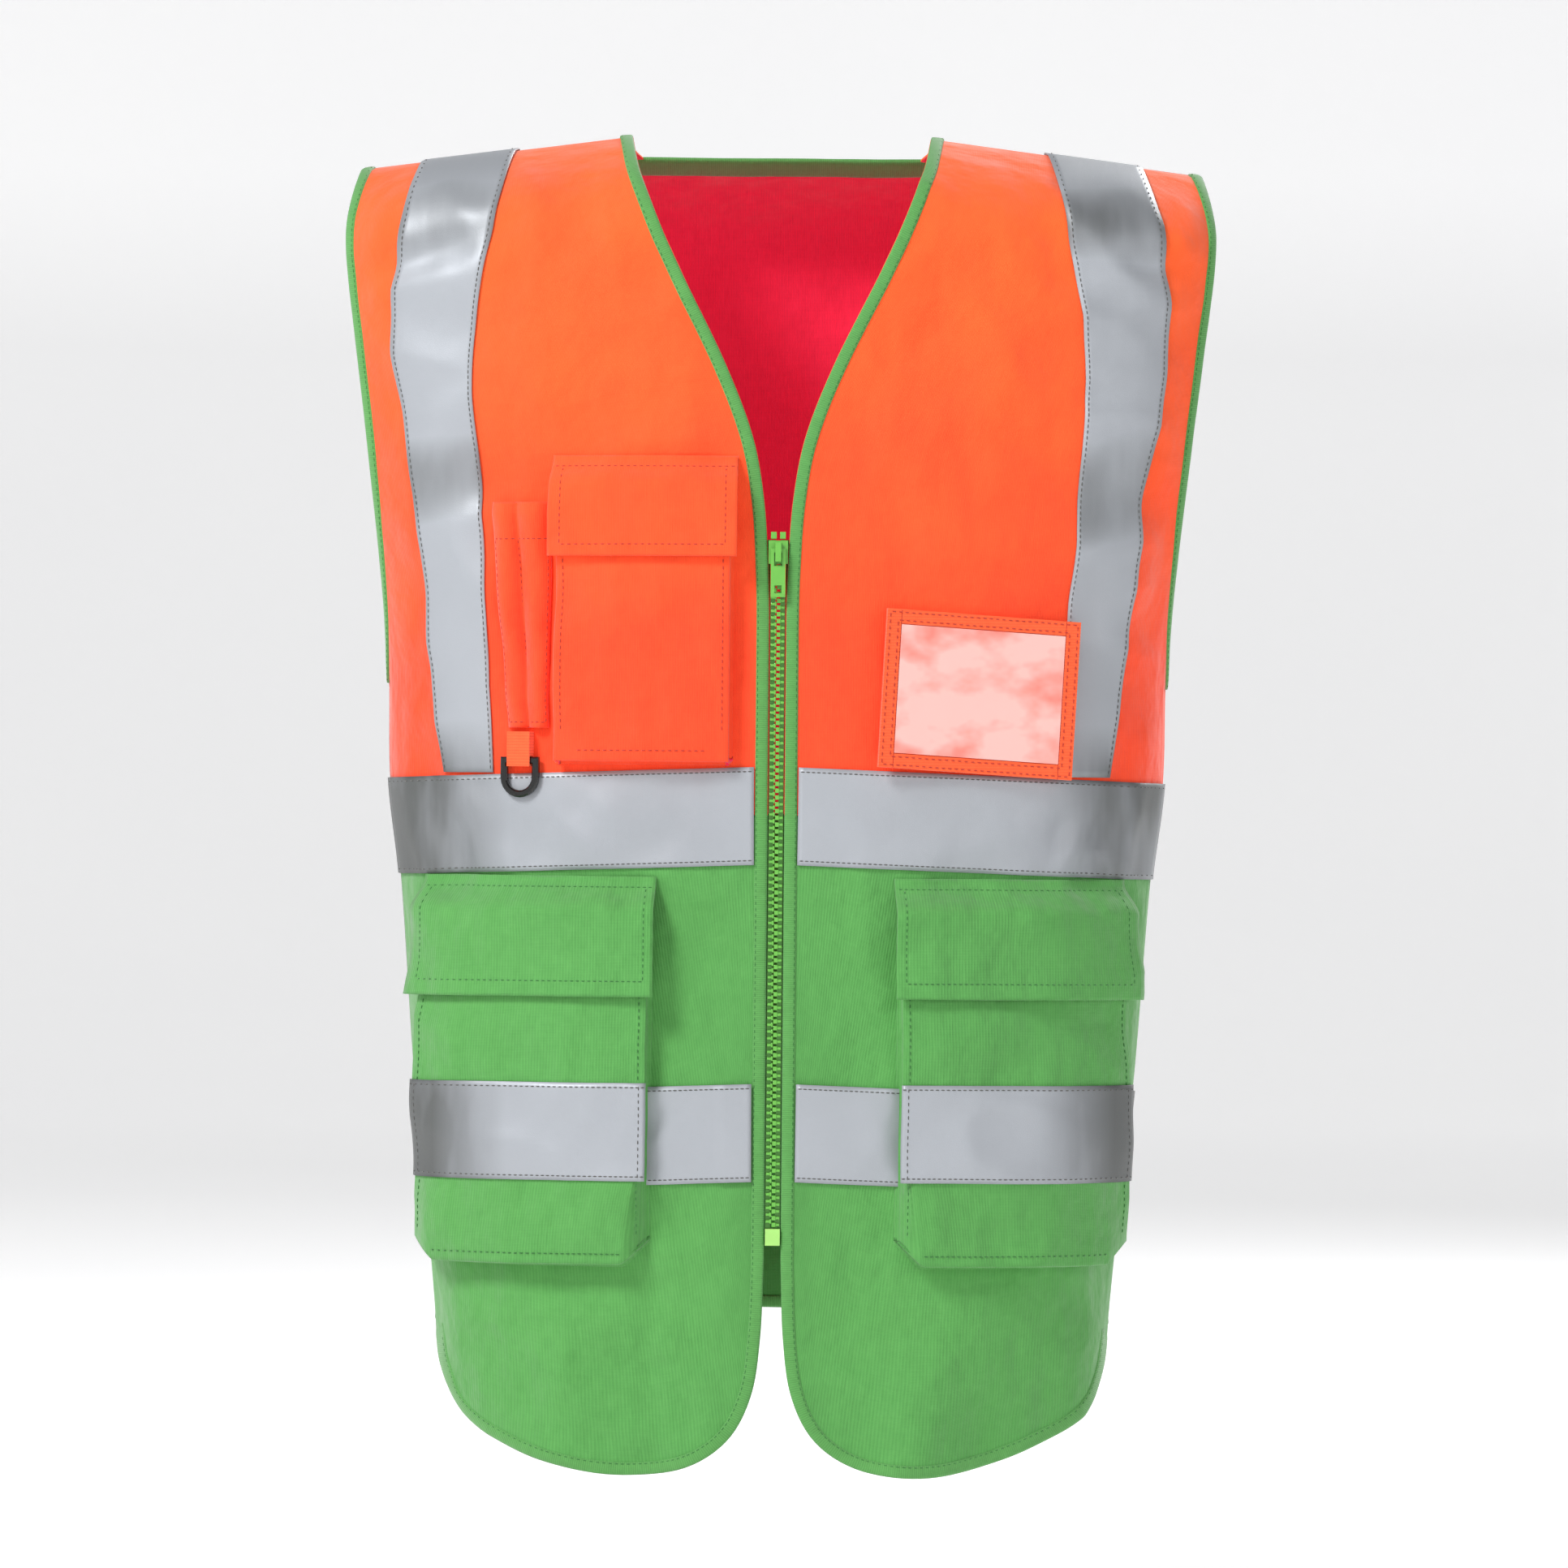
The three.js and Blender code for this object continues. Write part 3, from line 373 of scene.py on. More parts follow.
@dataclass(frozen=True)
class Outline:
    """Edges of the cloth, from the form and the frame's nodes."""

    form: Form
    gap: float = 0.0043
    binding: float = 0.0068
    side_hem: float = 0.628
    front_hem: float = 0.700
    back_neck: float = 0.007
    droop: float = 0.035
    tape: float = 0.0505
    neck_foot: float = 0.59
    brace_inner: Points = (
        (0, 0.139), (0.060, 0.1505), (0.118, 0.1575), (0.180, 0.155),
        (0.225, 0.151), (0.29, 0.148), (0.345, 0.1455),
    )
    brace_outer: Points = (
        (0, 0.189), (0.060, 0.1995), (0.118, 0.2), (0.180, 0.190),
        (0.225, 0.184), (0.29, 0.178), (0.345, 0.171),
    )

    @property
    def waist_top(self) -> float:
        """Height of the waist tape's upper edge at the centre, below the shoulder."""
        return -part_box("waist_tape_back")[1].z

    @property
    def waist_seam(self) -> float:
        """Height of the seam behind the waist tape."""
        return self.waist_top + self.tape / 2

    @property
    def hem_tape_top(self) -> float:
        """Height of the lower tape's upper edge."""
        return -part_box("hem_tape_back")[1].z

    def neckline(self, depth: float) -> float:
        """Distance of the front edge from the centre line.

        Args:
            depth: Distance down from the shoulder seam.

        Returns:
            The distance, never less than the gap kept for the zip.
        """
        stations = (
            (0.0, 0.079), (0.030, 0.072), (0.076, 0.052), (0.125, 0.028), (0.163, 0.0134),
            (0.196, self.gap + 0.003), (0.232, self.gap + 0.0006), (0.262, self.gap),
            (0.8, self.gap),
        )
        return max(self.gap, along(stations, depth))

    def armhole(self, depth: float) -> float:
        """Share of the half width where the armhole edge or side seam lies."""
        return 1 / self.form.swell(depth)

    def hem(self, inset: float, count: int) -> list[tuple[float, float]]:
        """Rounded front corner from the zip's foot to the side seam, as (x, depth).

        Args:
            inset: Distance inside the edge.
            count: How many points to return.

        Returns:
            Points evenly spaced along the corner.
        """
        gap = self.gap
        foot = self.front_hem
        side = self.form.half_width(self.side_hem)
        corner = [
            (gap, self.neck_foot), (gap + 0.0015, self.side_hem), (gap + 0.006, foot - 0.042),
            (gap + 0.018, foot - 0.019), (gap + 0.040, foot - 0.0045), (gap + 0.070, foot),
            (side - 0.073, foot - 0.0035), (side - 0.043, foot - 0.013),
            (side - 0.018, foot - 0.028), (side - 0.004, foot - 0.050),
            (side + 0.0005, self.side_hem),
        ]
        points = curved(corner, 90)
        moved = []
        for index, (x, depth) in enumerate(points):
            x0, d0 = points[max(0, index - 1)]
            x1, d1 = points[min(len(points) - 1, index + 1)]
            length = math.hypot(x1 - x0, d1 - d0)
            moved.append((x + (d1 - d0) / length * inset, depth - (x1 - x0) / length * inset))
        return resampled(moved, count)

    def front_edge(self) -> list[tuple[float, float]]:
        """Front edge from the neck point round the hem to the side seam.

        Returns:
            Points evenly spaced along it, as (x, depth).
        """
        depths = [self.neck_foot * i / 150 for i in range(150)]
        upper = [(self.neckline(depth), depth) for depth in depths]
        return resampled(upper + self.hem(0.0, 90), 330)

    def braces(self, depth: float) -> tuple[float, float]:
        """Inner and outer edge of the brace tape at a depth.

        Args:
            depth: Distance down from the shoulder seam.

        Returns:
            The two distances from the centre line.
        """
        return along(self.brace_inner, depth), along(self.brace_outer, depth)


FORM = Form()
OUTLINE = Outline(FORM)

# ------------------------------------------------------------------ shader helpers


class Socket:
    """A number in a node tree that Python expressions can work with."""

    def __init__(self, shader: "Shader", link: Any) -> None:
        """Keep the tree and the output socket."""
        self.shader = shader
        self.link = link

    def _math(self, operation: str, first: Any, second: Any) -> "Socket":
        """Add one Math node."""
        node = self.shader.node("ShaderNodeMath", {"operation": operation}, {0: first, 1: second})
        return Socket(self.shader, node.outputs[0])

    def __add__(self, other: Any) -> "Socket":
        """Sum."""
        return self._math("ADD", self, other)

    __radd__ = __add__

    def __sub__(self, other: Any) -> "Socket":
        """Difference."""
        return self._math("SUBTRACT", self, other)

    def __rsub__(self, other: Any) -> "Socket":
        """Difference from a value."""
        return self._math("SUBTRACT", other, self)

    def __mul__(self, other: Any) -> "Socket":
        """Product."""
        return self._math("MULTIPLY", self, other)

    __rmul__ = __mul__

    def sine(self) -> "Socket":
        """Sine of this value."""
        return self._math("SINE", self, 0.0)

    def clamp(self) -> "Socket":
        """This value kept from 0 to 1."""
        low = self._math("MAXIMUM", self, 0.0)
        return low._math("MINIMUM", low, 1.0)


class Shader:
    """Builds one material."""

    def __init__(self, name: str) -> None:
        """Start a material with its Principled shader.

        Args:
            name: The material's name.
        """
        self.material = bpy.data.materials.new(name)
        self.material.use_nodes = True
        self.tree = self.material.node_tree
        self.main = self.tree.nodes["Principled BSDF"]

    def node(self, kind: str, settings: dict[str, Any], inputs: dict[Any, Any]) -> Any:
        """Add one node.

        Args:
            kind: The node's type.
            settings: Its settings, set before its inputs.
            inputs: Values or links by socket name or number.

        Returns:
            The node.
        """
        node = self.tree.nodes.new(kind)
        for key, value in settings.items():
            setattr(node, key, value)
        for key, value in inputs.items():
            self.feed(node.inputs[key], value)
        return node

    def feed(self, socket: Any, value: Any) -> None:
        """Link or set one input.

        Args:
            socket: The input.
            value: A Socket, a node socket or a plain value.
        """
        if isinstance(value, Socket):
            self.tree.links.new(value.link, socket)
        elif isinstance(value, bpy.types.NodeSocket):
            self.tree.links.new(value, socket)
        else:
            socket.default_value = value

    def coordinates(self, space: str = "Object", scale: Sequence[float] = (1, 1, 1)) -> Any:
        """Scaled Object or UV coordinates, in metres before the scale.

        Args:
            space: Object or UV.
            scale: Scale along each axis.

        Returns:
            The socket of the scaled vector.
        """
        source = self.node("ShaderNodeTexCoord", {}, {})
        inputs = {"Vector": source.outputs[space], "Scale": tuple(scale)}
        return self.node("ShaderNodeMapping", {}, inputs).outputs[0]

    def axis(self, vector: Any, name: str) -> Socket:
        """One part of a vector."""
        node = self.node("ShaderNodeSeparateXYZ", {}, {0: vector})
        return Socket(self, node.outputs[name])

    def grain(self, vector: Any, scale: float, detail: float = 2.0) -> Socket:
        """Noise from 0 to 1."""
        inputs = {"Vector": vector, "Scale": scale, "Detail": detail}
        return Socket(self, self.node("ShaderNodeTexNoise", {}, inputs).outputs["Fac"])

    def blend(self, share: Any, first: Any, second: Any) -> Any:
        """Mixed colour of two colours or links."""
        inputs = {"Factor": share, 6: first, 7: second}
        return self.node("ShaderNodeMix", {"data_type": "RGBA"}, inputs).outputs[2]

    def bump(self, height: Socket, strength: float, distance: float) -> None:
        """Raise the surface by a height in a given distance."""
        inputs = {"Height": height, "Strength": strength, "Distance": distance}
        self.feed(self.main.inputs["Normal"], self.node("ShaderNodeBump", {}, inputs).outputs[0])

    def finish(self, **values: Any) -> bpy.types.Material:
        """Feed the Principled shader.

        Args:
            **values: Values or links by input name, with underscores for spaces.

        Returns:
            The material.
        """
        for key, value in values.items():
            self.feed(self.main.inputs[key.replace("_", " ")], value)
        return self.material


def colour(red: int, green: int, blue: int) -> Colour:
    """Linear colour of display values from 0 to 255.

    Args:
        red: Red, from 0 to 255.
        green: Green, from 0 to 255.
        blue: Blue, from 0 to 255.

    Returns:
        The linear colour, fully opaque.
    """
    parts = []
    for value in (red, green, blue):
        share = value / 255
        parts.append(share / 12.92 if share <= 0.04045 else ((share + 0.055) / 1.055) ** 2.4)
    return (parts[0], parts[1], parts[2], 1.0)


def shaded(base: Sequence[float], factor: float) -> Colour:
    """A colour made lighter or darker."""
    return (base[0] * factor, base[1] * factor, base[2] * factor, 1.0)


@dataclass(frozen=True)
class Cloth:
    """Woven cloth with ribs, thread grain and soft stains, with emission that paints extra light on it
    and, where a top colour is given, a painted lighter top where light falls from above.
    """

    name: str
    base: Colour
    deep: Colour
    rib_pitch: float = 0.0009
    cross_pitch: float = 0.0006
    rib_depth: float = 0.5
    # Strength of the emission that paints light on the cloth, though it is no lamp.
    glow: float = 0.10
    sheen: float = 0.25
    # Lighter colour painted on the upper cloth, as light falls there from above.
    painted_top_light: Colour | None = None

    def make(self) -> bpy.types.Material:
        """Build the material.

        Returns:
            The material.
        """
        shader = Shader(self.name)
        flat = shader.coordinates("UV")
        place = shader.coordinates()
        warp = shader.axis(flat, "X") * (2 * math.pi / self.rib_pitch)
        weft = shader.axis(flat, "Y") * (2 * math.pi / self.cross_pitch)
        rib = warp.sine() * 0.5 + 0.5
        pick = weft.sine() * 0.5 + 0.5
        weave = rib * 0.65 + pick * 0.35
        thread = shader.grain(shader.coordinates("UV", (1400, 90, 1)), 1.0, 1.0)
        slub = shader.grain(shader.coordinates("UV", (90, 1100, 1)), 1.0, 1.0)
        broad = shader.grain(place, 14.0, 3.0)
        mottled = shader.grain(place, 120.0, 4.0)
        dark = ((1 - weave) * 0.30 + thread * 0.30 + slub * 0.15 + mottled * 0.22 - 0.18).clamp()
        dyed = shader.blend(dark, self.base, self.deep)
        worn_and_top_lit = shader.blend((broad - 0.5).clamp() * 0.35, dyed, shaded(self.base, 1.12))
        # Painted top light: on top of the random tone, the colour is mixed towards a lighter one higher up
        # the vest, as light from above falls there.
        if self.painted_top_light:
            height = (shader.axis(place, "Z") * 3.6 + 1.0 + (broad - 0.5) * 0.8).clamp()
            worn_and_top_lit = shader.blend(height * 0.6, worn_and_top_lit, self.painted_top_light)
        hang = shader.grain(shader.coordinates("Object", (1, 1, 0.35)), 19.0, 2.0)
        rumple = shader.grain(place, 34.0, 3.0)
        relief = weave * 0.6 + thread * 0.5 + mottled * 0.4 + hang * 60.0 + rumple * 24.0
        shader.bump(relief, self.rib_depth, 0.0004)
        rough = mottled * 0.12 + 0.78
        # The emission paints light on the cloth, though it is no lamp.
        return shader.finish(
            Base_Color=worn_and_top_lit, Roughness=rough, Emission_Color=worn_and_top_lit, Emission_Strength=self.glow,
            Sheen_Weight=self.sheen, Sheen_Roughness=0.5, Specular_IOR_Level=0.25,
        )


@dataclass(frozen=True)
class Grosgrain:
    """Ribbed binding or webbing whose ribs cross the strip, with emission that paints light on it."""

    name: str
    base: Colour
    pitch: float = 0.0011
    glow: float = 0.06
    space: str = "UV"

    def make(self) -> bpy.types.Material:
        """Build the material.

        Returns:
            The material.
        """
        shader = Shader(self.name)
        flat = shader.coordinates(self.space)
        length = "Y" if self.space == "UV" else "Z"
        rib = (shader.axis(flat, length) * (2 * math.pi / self.pitch)).sine() * 0.5 + 0.5
        cross = (shader.axis(flat, "X") * (2 * math.pi / (self.pitch * 0.7))).sine() * 0.5 + 0.5
        mottled = shader.grain(shader.coordinates(), 260.0, 3.0)
        soft = shader.grain(shader.coordinates(), 25.0, 2.0)
        dark = ((1 - rib) * 0.35 + (1 - cross) * 0.10 + mottled * 0.35 + soft * 0.2 - 0.25).clamp()
        dyed = shader.blend(dark, self.base, shaded(self.base, 0.45))
        shader.bump(rib * 0.8 + mottled * 0.3, 0.5, 0.0003)
        # The emission paints light on the strip, though it is no lamp.
        return shader.finish(
            Base_Color=dyed, Roughness=mottled * 0.15 + 0.7, Emission_Color=dyed,
            Emission_Strength=self.glow, Sheen_Weight=0.3, Specular_IOR_Level=0.25,
        )


@dataclass(frozen=True)
class Reflective:
    """Silver tape of fine glass beads, dulled in soft patches, and painted darker at its sides and in its
    fold creases, where shade falls.
    """

    name: str
    base: Colour
    dull: Colour
    # Colour of the painted shade at the tape's sides and fold creases.
    dark: Colour

    def make(self) -> bpy.types.Material:
        """Build the material.

        Returns:
            The material.
        """
        shader = Shader(self.name)
        place = shader.coordinates()
        x = shader.axis(place, "X")
        z = shader.axis(place, "Z")
        bead = shader.grain(place, 2600.0, 1.0)
        cloud = shader.grain(place, 9.0, 3.0)
        streak = shader.grain(shader.coordinates("Object", (40, 6, 9)), 1.0, 3.0)
        scuff = ((cloud - 0.46) * 2.4).clamp()
        # Painted shade: these masks mark the tape's sides above the waist, in streaks, and its two fold
        # creases, where shade falls.
        outer = ((x * x - 0.0190) * 80).clamp() * ((z + 0.31) * -40).clamp()
        level = z + (cloud - 0.5) * 0.05
        crease_shade = self.band(level, 0.052, 0.020) + self.band(level, 0.190, 0.026)
        dark_patches = outer * (streak * 2.6 - 0.40).clamp()
        folded = (dark_patches + crease_shade * (streak * 1.6 - 0.2).clamp() * 0.8).clamp()
        tone = shader.blend(scuff * 0.5 + bead * 0.10, self.base, self.dull)
        # The tape is darkened towards the shade colour where the painted shade masks lie.
        toned = shader.blend(folded * 0.85, tone, self.dark)
        shader.bump(bead * 0.3 + cloud * 6.0 + streak * 3.0, 0.35, 0.0006)
        return shader.finish(
            Base_Color=toned, Roughness=bead * 0.14 + cloud * 0.10 + 0.36, Metallic=0.30,
            Specular_IOR_Level=0.5,
        )

    @staticmethod
    def band(height: Socket, depth: float, width: float) -> Socket:
        """Soft band round a depth below the shoulder, a mask for painted crease shade."""
        away = (height + depth) * (1 / width)
        return (1 - away * away).clamp()


@dataclass(frozen=True)
class Moulded:
    """Moulded plastic with a faint orange-peel surface, scuffed places and emission that paints light on
    it.
    """

    name: str
    base: Colour
    roughness: float = 0.32
    glow: float = 0.0

    def make(self) -> bpy.types.Material:
        """Build the material.

        Returns:
            The material.
        """
        shader = Shader(self.name)
        place = shader.coordinates()
        peel = shader.grain(place, 900.0, 2.0)
        dark_patches = shader.grain(place, 160.0, 3.0)
        tone = shader.blend((dark_patches - 0.35).clamp() * 0.6, self.base, shaded(self.base, 0.72))
        shader.bump(peel * 0.4 + dark_patches * 0.6, 0.12, 0.0003)
        # The emission paints light on the plastic, though it is no lamp.
        return shader.finish(
            Base_Color=tone, Roughness=dark_patches * 0.18 + self.roughness - 0.06, Coat_Weight=0.15,
            Emission_Color=tone, Emission_Strength=self.glow,
        )


@dataclass(frozen=True)
class SoftWindow:
    """Clear soft sheet over pale pink, with soft orange blotches, a cloudy gloss and faint emission that
    paints light on it.
    """

    name: str
    base: Colour
    blotch: Colour

    def make(self) -> bpy.types.Material:
        """Build the material.

        Returns:
            The material.
        """
        shader = Shader(self.name)
        cloud = shader.grain(shader.coordinates("Object", (1, 1, 1.4)), 34.0, 3.0)
        ripple = shader.grain(shader.coordinates(), 60.0, 1.0)
        share = ((cloud - 0.46) * 4.0).clamp() * 0.8
        tone = shader.blend(share, self.base, self.blotch)
        shader.bump(ripple, 0.25, 0.002)
        # The faint emission paints light on the window, though it is no lamp.
        return shader.finish(
            Base_Color=tone, Roughness=ripple * 0.1 + 0.12, Emission_Color=tone,
            Emission_Strength=0.04, Coat_Weight=0.3, Coat_Roughness=0.15,
        )


@dataclass(frozen=True)
class Hooks:
    """Hook and loop fastener, a dense field of tiny stems."""

    name: str
    base: Colour

    def make(self) -> bpy.types.Material:
        """Build the material.

        Returns:
            The material.
        """
        shader = Shader(self.name)
        place = shader.coordinates()
        stem = shader.grain(place, 1500.0, 2.0)
        tone = shader.blend(stem, shaded(self.base, 0.4), shaded(self.base, 1.6))
        shader.bump(stem, 0.9, 0.0006)
        return shader.finish(Base_Color=tone, Roughness=stem * 0.2 + 0.75, Sheen_Weight=0.4)


class Wardrobe:
    """Every finish of the vest, made once."""

    def __init__(self) -> None:
        """Make the materials."""
        # Emission on the cloths, bindings, some threads, webbing and plastics paints light on them, though
        # none is a lamp.
        self.orange = Cloth(
            "orange_cloth", colour(250, 80, 38), colour(222, 46, 28), glow=0.10,
            # The lighter orange is painted top light on the upper chest.
            painted_top_light=colour(252, 112, 40),
        ).make()
        self.crimson = Cloth(
            "crimson_inner_side", colour(244, 34, 72), colour(176, 6, 48), glow=0.22
        ).make()
        self.green = Cloth(
            "green_cloth", colour(96, 166, 86), colour(48, 114, 48),
            rib_pitch=0.0016, rib_depth=0.6, glow=0.02,
        ).make()
        self.green_inside = Cloth(
            "green_inner_side", colour(80, 150, 72), colour(40, 100, 42), glow=0.03
        ).make()
        self.binding = Grosgrain("green_binding", colour(92, 160, 82), glow=0.02).make()
        # The third silver colour is the painted shade at the tape's sides and creases.
        self.silver = Reflective(
            "silver_tape", colour(166, 170, 176), colour(138, 141, 146), colour(72, 74, 70)
        ).make()
        self.thread = Grosgrain("grey_thread", colour(95, 95, 92), 0.0008, 0.0).make()
        self.orange_thread = Grosgrain("orange_thread", colour(196, 52, 30), 0.0008, 0.02).make()
        self.green_thread = Grosgrain("green_thread", colour(52, 122, 52), 0.0008, 0.0).make()
        self.zip_tape = Grosgrain("zip_tape_cloth", colour(48, 112, 44), 0.0009, 0.02, "Object").make()
        self.zip_green = Moulded("zip_plastic", colour(100, 176, 66), 0.3, 0.04).make()
        self.box_green = Moulded("zip_box_plastic", colour(158, 214, 110), 0.28, 0.06).make()
        self.black = Moulded("black_plastic", colour(22, 22, 22), 0.16).make()
        self.window = SoftWindow("clear_window", colour(228, 172, 164), colour(240, 78, 48)).make()
        self.webbing = Grosgrain("orange_webbing", colour(252, 96, 50), 0.0015, 0.10, "Object").make()
        self.hooks = Hooks("hook_field", colour(200, 70, 40)).make()


# ------------------------------------------------------------------ cutting and sewing


def distances(path: Path, count: int) -> list[float]:
    """Distance covered along a path.

    Args:
        path: The path, by a share from 0 to 1.
        count: How many steps to measure it in.

    Returns:
        The distance at the start and after each step.
    """
    total = [0.0]
    last = path(0.0)
    for index in range(1, count + 1):
        point = path(index / count)
        total.append(total[-1] + (point - last).length)
        last = point
    return total


BEAD = (0.0012, 0.00036, 0.00036, 1.0)
CUT_ALLOWANCE = 1.02
LEAST_AREA_SHARE = 0.31


class Workshop:
    """Cuts grids, tubes and stitches, and puts them on the vest's bodies."""

    def __init__(self, wardrobe: Wardrobe) -> None:
        """Keep the finishes."""
        self.wardrobe = wardrobe

    @staticmethod
    def grid(columns: int, rows: int, place: Place, flip: bool) -> bmesh.types.BMesh:
        """Grid whose corners are moved by a function of two shares, with its real size as UV.

        Args:
            columns: Grid cells across.
            rows: Grid cells down.
            place: Where each share of the grid lies.
            flip: True where the grid would face inward.

        Returns:
            The grid.
        """
        mesh = bmesh.new()
        bmesh.ops.create_grid(mesh, x_segments=columns, y_segments=rows, size=0.5)
        layer = mesh.loops.layers.uv.new("UVMap")
        shares = {vert: (vert.co.x + 0.5, 0.5 - vert.co.y) for vert in mesh.verts}
        wide = distances(lambda share: place(share, 0.5), columns)
        tall = distances(lambda share: place(0.5, share), rows)
        for face in mesh.faces:
            for loop in face.loops:
                across, down = shares[loop.vert]
                loop[layer].uv = (wide[round(across * columns)], -tall[round(down * rows)])
        for vert, (across, down) in shares.items():
            vert.co = place(across, down)
        if flip:
            bmesh.ops.reverse_faces(mesh, faces=mesh.faces)
        return mesh

    @staticmethod
    def finish(name: str, mesh: bmesh.types.BMesh, *materials: bpy.types.Material) -> bpy.types.Object:
        """Turn a bmesh into a smooth object with its materials.

        Args:
            name: The object's name.
            mesh: The bmesh, which is freed.
            *materials: Its finishes, in slot order.

        Returns:
            The object, linked to the scene.
        """
        data = bpy.data.meshes.new(name)
        for face in mesh.faces:
            face.smooth = True
        mesh.to_mesh(data)
        mesh.free()
        for material in materials:
            data.materials.append(material)
        obj = bpy.data.objects.new(name, data)
        bpy.context.scene.collection.objects.link(obj)
        LOG.info("%s: %d faces", name, len(data.polygons))
        return obj

    def sheet(
        self, name: str, columns: int, rows: int, place: Place, thickness: float, flip: bool,
        outside: bpy.types.Material, inside: bpy.types.Material, held: str = "stretched",
    ) -> bpy.types.Object:
        """Cloth sheet with a thickness inward and its own inner side.

        Args:
            name: The piece's name.
            columns: Grid cells across.
            rows: Grid cells down.
            place: Where each share of the grid lies.
            thickness: Cloth thickness.
            flip: True where the grid would face inward.
            outside: Finish of the outer side.
            inside: Finish of the inner side.

        Returns:
            The finished object.
        """
        mesh = self.grid(columns, rows, place, flip)
        area = sum(face.calc_area() for face in mesh.faces)
        tries = (0.05, 0.5, 0.95)
        width = max(distances(lambda share, r=r: place(share, r), 10)[-1] for r in tries)
        height = max(distances(lambda share, c=c: place(c, share), 10)[-1] for c in tries)
        obj = self.finish(name, mesh, outside, inside)
        wall = obj.modifiers.new("thickness", "SOLIDIFY")
        wall.thickness = thickness
        wall.offset = -1.0
        wall.use_even_offset = False
        wall.material_offset = 1
        wall.material_offset_rim = 0
        size = (width * CUT_ALLOWANCE, height * CUT_ALLOWANCE)
        share = min(1.0, max(LEAST_AREA_SHARE, area / (size[0] * size[1])))
        share * size[0] * size[1]
        return obj

    def tube(
        self, name: str, around: int, steps: int, place: Place, material: bpy.types.Material
    ) -> bpy.types.Object:
        """Closed tube: the first share goes round it and the second along it.

        Args:
            name: The piece's name.
            around: Grid cells round it.
            steps: Grid cells along it.
            place: Where each share of the grid lies.
            material: Its finish.

        Returns:
            The finished object.
        """
        mesh = self.grid(around, steps, place, False)
        bmesh.ops.remove_doubles(mesh, verts=mesh.verts, dist=1e-6)
        rim = [edge for edge in mesh.edges if edge.is_boundary]
        bmesh.ops.holes_fill(mesh, edges=rim, sides=0)
        bmesh.ops.recalc_face_normals(mesh, faces=mesh.faces)
        return self.finish(name, mesh, material)

    def stitches(
        self, name: str, rows: Sequence[Stitches], material: bpy.types.Material
    ) -> bpy.types.Object:
        """Rows of small thread beads.

        Args:
            name: The piece's name.
            rows: For each row, its stitches as (place, direction).
            material: The thread.

        Returns:
            One object that holds all rows.
        """
        whole = bmesh.new()
        for row in rows:
            part = bmesh.new()
            for place, direction in row:
                turn = direction.to_track_quat("X", "Z").to_matrix().to_4x4()
                matrix = Matrix.Translation(place) @ turn @ Matrix.Diagonal(BEAD)
                bmesh.ops.create_icosphere(part, subdivisions=1, radius=1.0, matrix=matrix)
            data = bpy.data.meshes.new("row")
            part.to_mesh(data)
            part.free()
            whole.from_mesh(data)
            bpy.data.meshes.remove(data)
        return self.finish(name, whole, material)

    @staticmethod
    def dress(node: str, material: bpy.types.Material) -> None:
        """Give a kept CAD node its finish.

        Args:
            node: The node's name in the frame.
            material: Its finish.
        """
        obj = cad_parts[node]
        obj.data.materials.clear()
        obj.data.materials.append(material)
        LOG.info("%s: kept, %s", node, material.name)


def row_of(place: Path, pitch: float = 0.0034) -> Stitches:
    """Evenly spaced stitches along a path.

    Args:
        place: The path, by a share from 0 to 1.
        pitch: Distance from one stitch to the next.

    Returns:
        The stitches, each as (place, direction).
    """
    number = max(2, int(distances(place, 60)[-1] / pitch))
    result = []
    for index in range(number):
        share = (index + 0.5) / number
        step = 0.3 / number
        direction = place(min(1, share + step)) - place(max(0, share - step))
        result.append((place(share), direction))
    return result


def ride_front(obj: bpy.types.Object, side: Side, shoulder: bool = False) -> None:
    """Put a piece on a front; a shoulder piece is only baked in place, on no body.

    Args:
        obj: The piece.
        side: The front's side.
        shoulder: True for a piece that starts at the shoulder seam.
    """
    if shoulder:
        side.body
        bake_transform(obj)
    else:
        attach(obj, side.body)


# ------------------------------------------------------------------ cloth of the vest


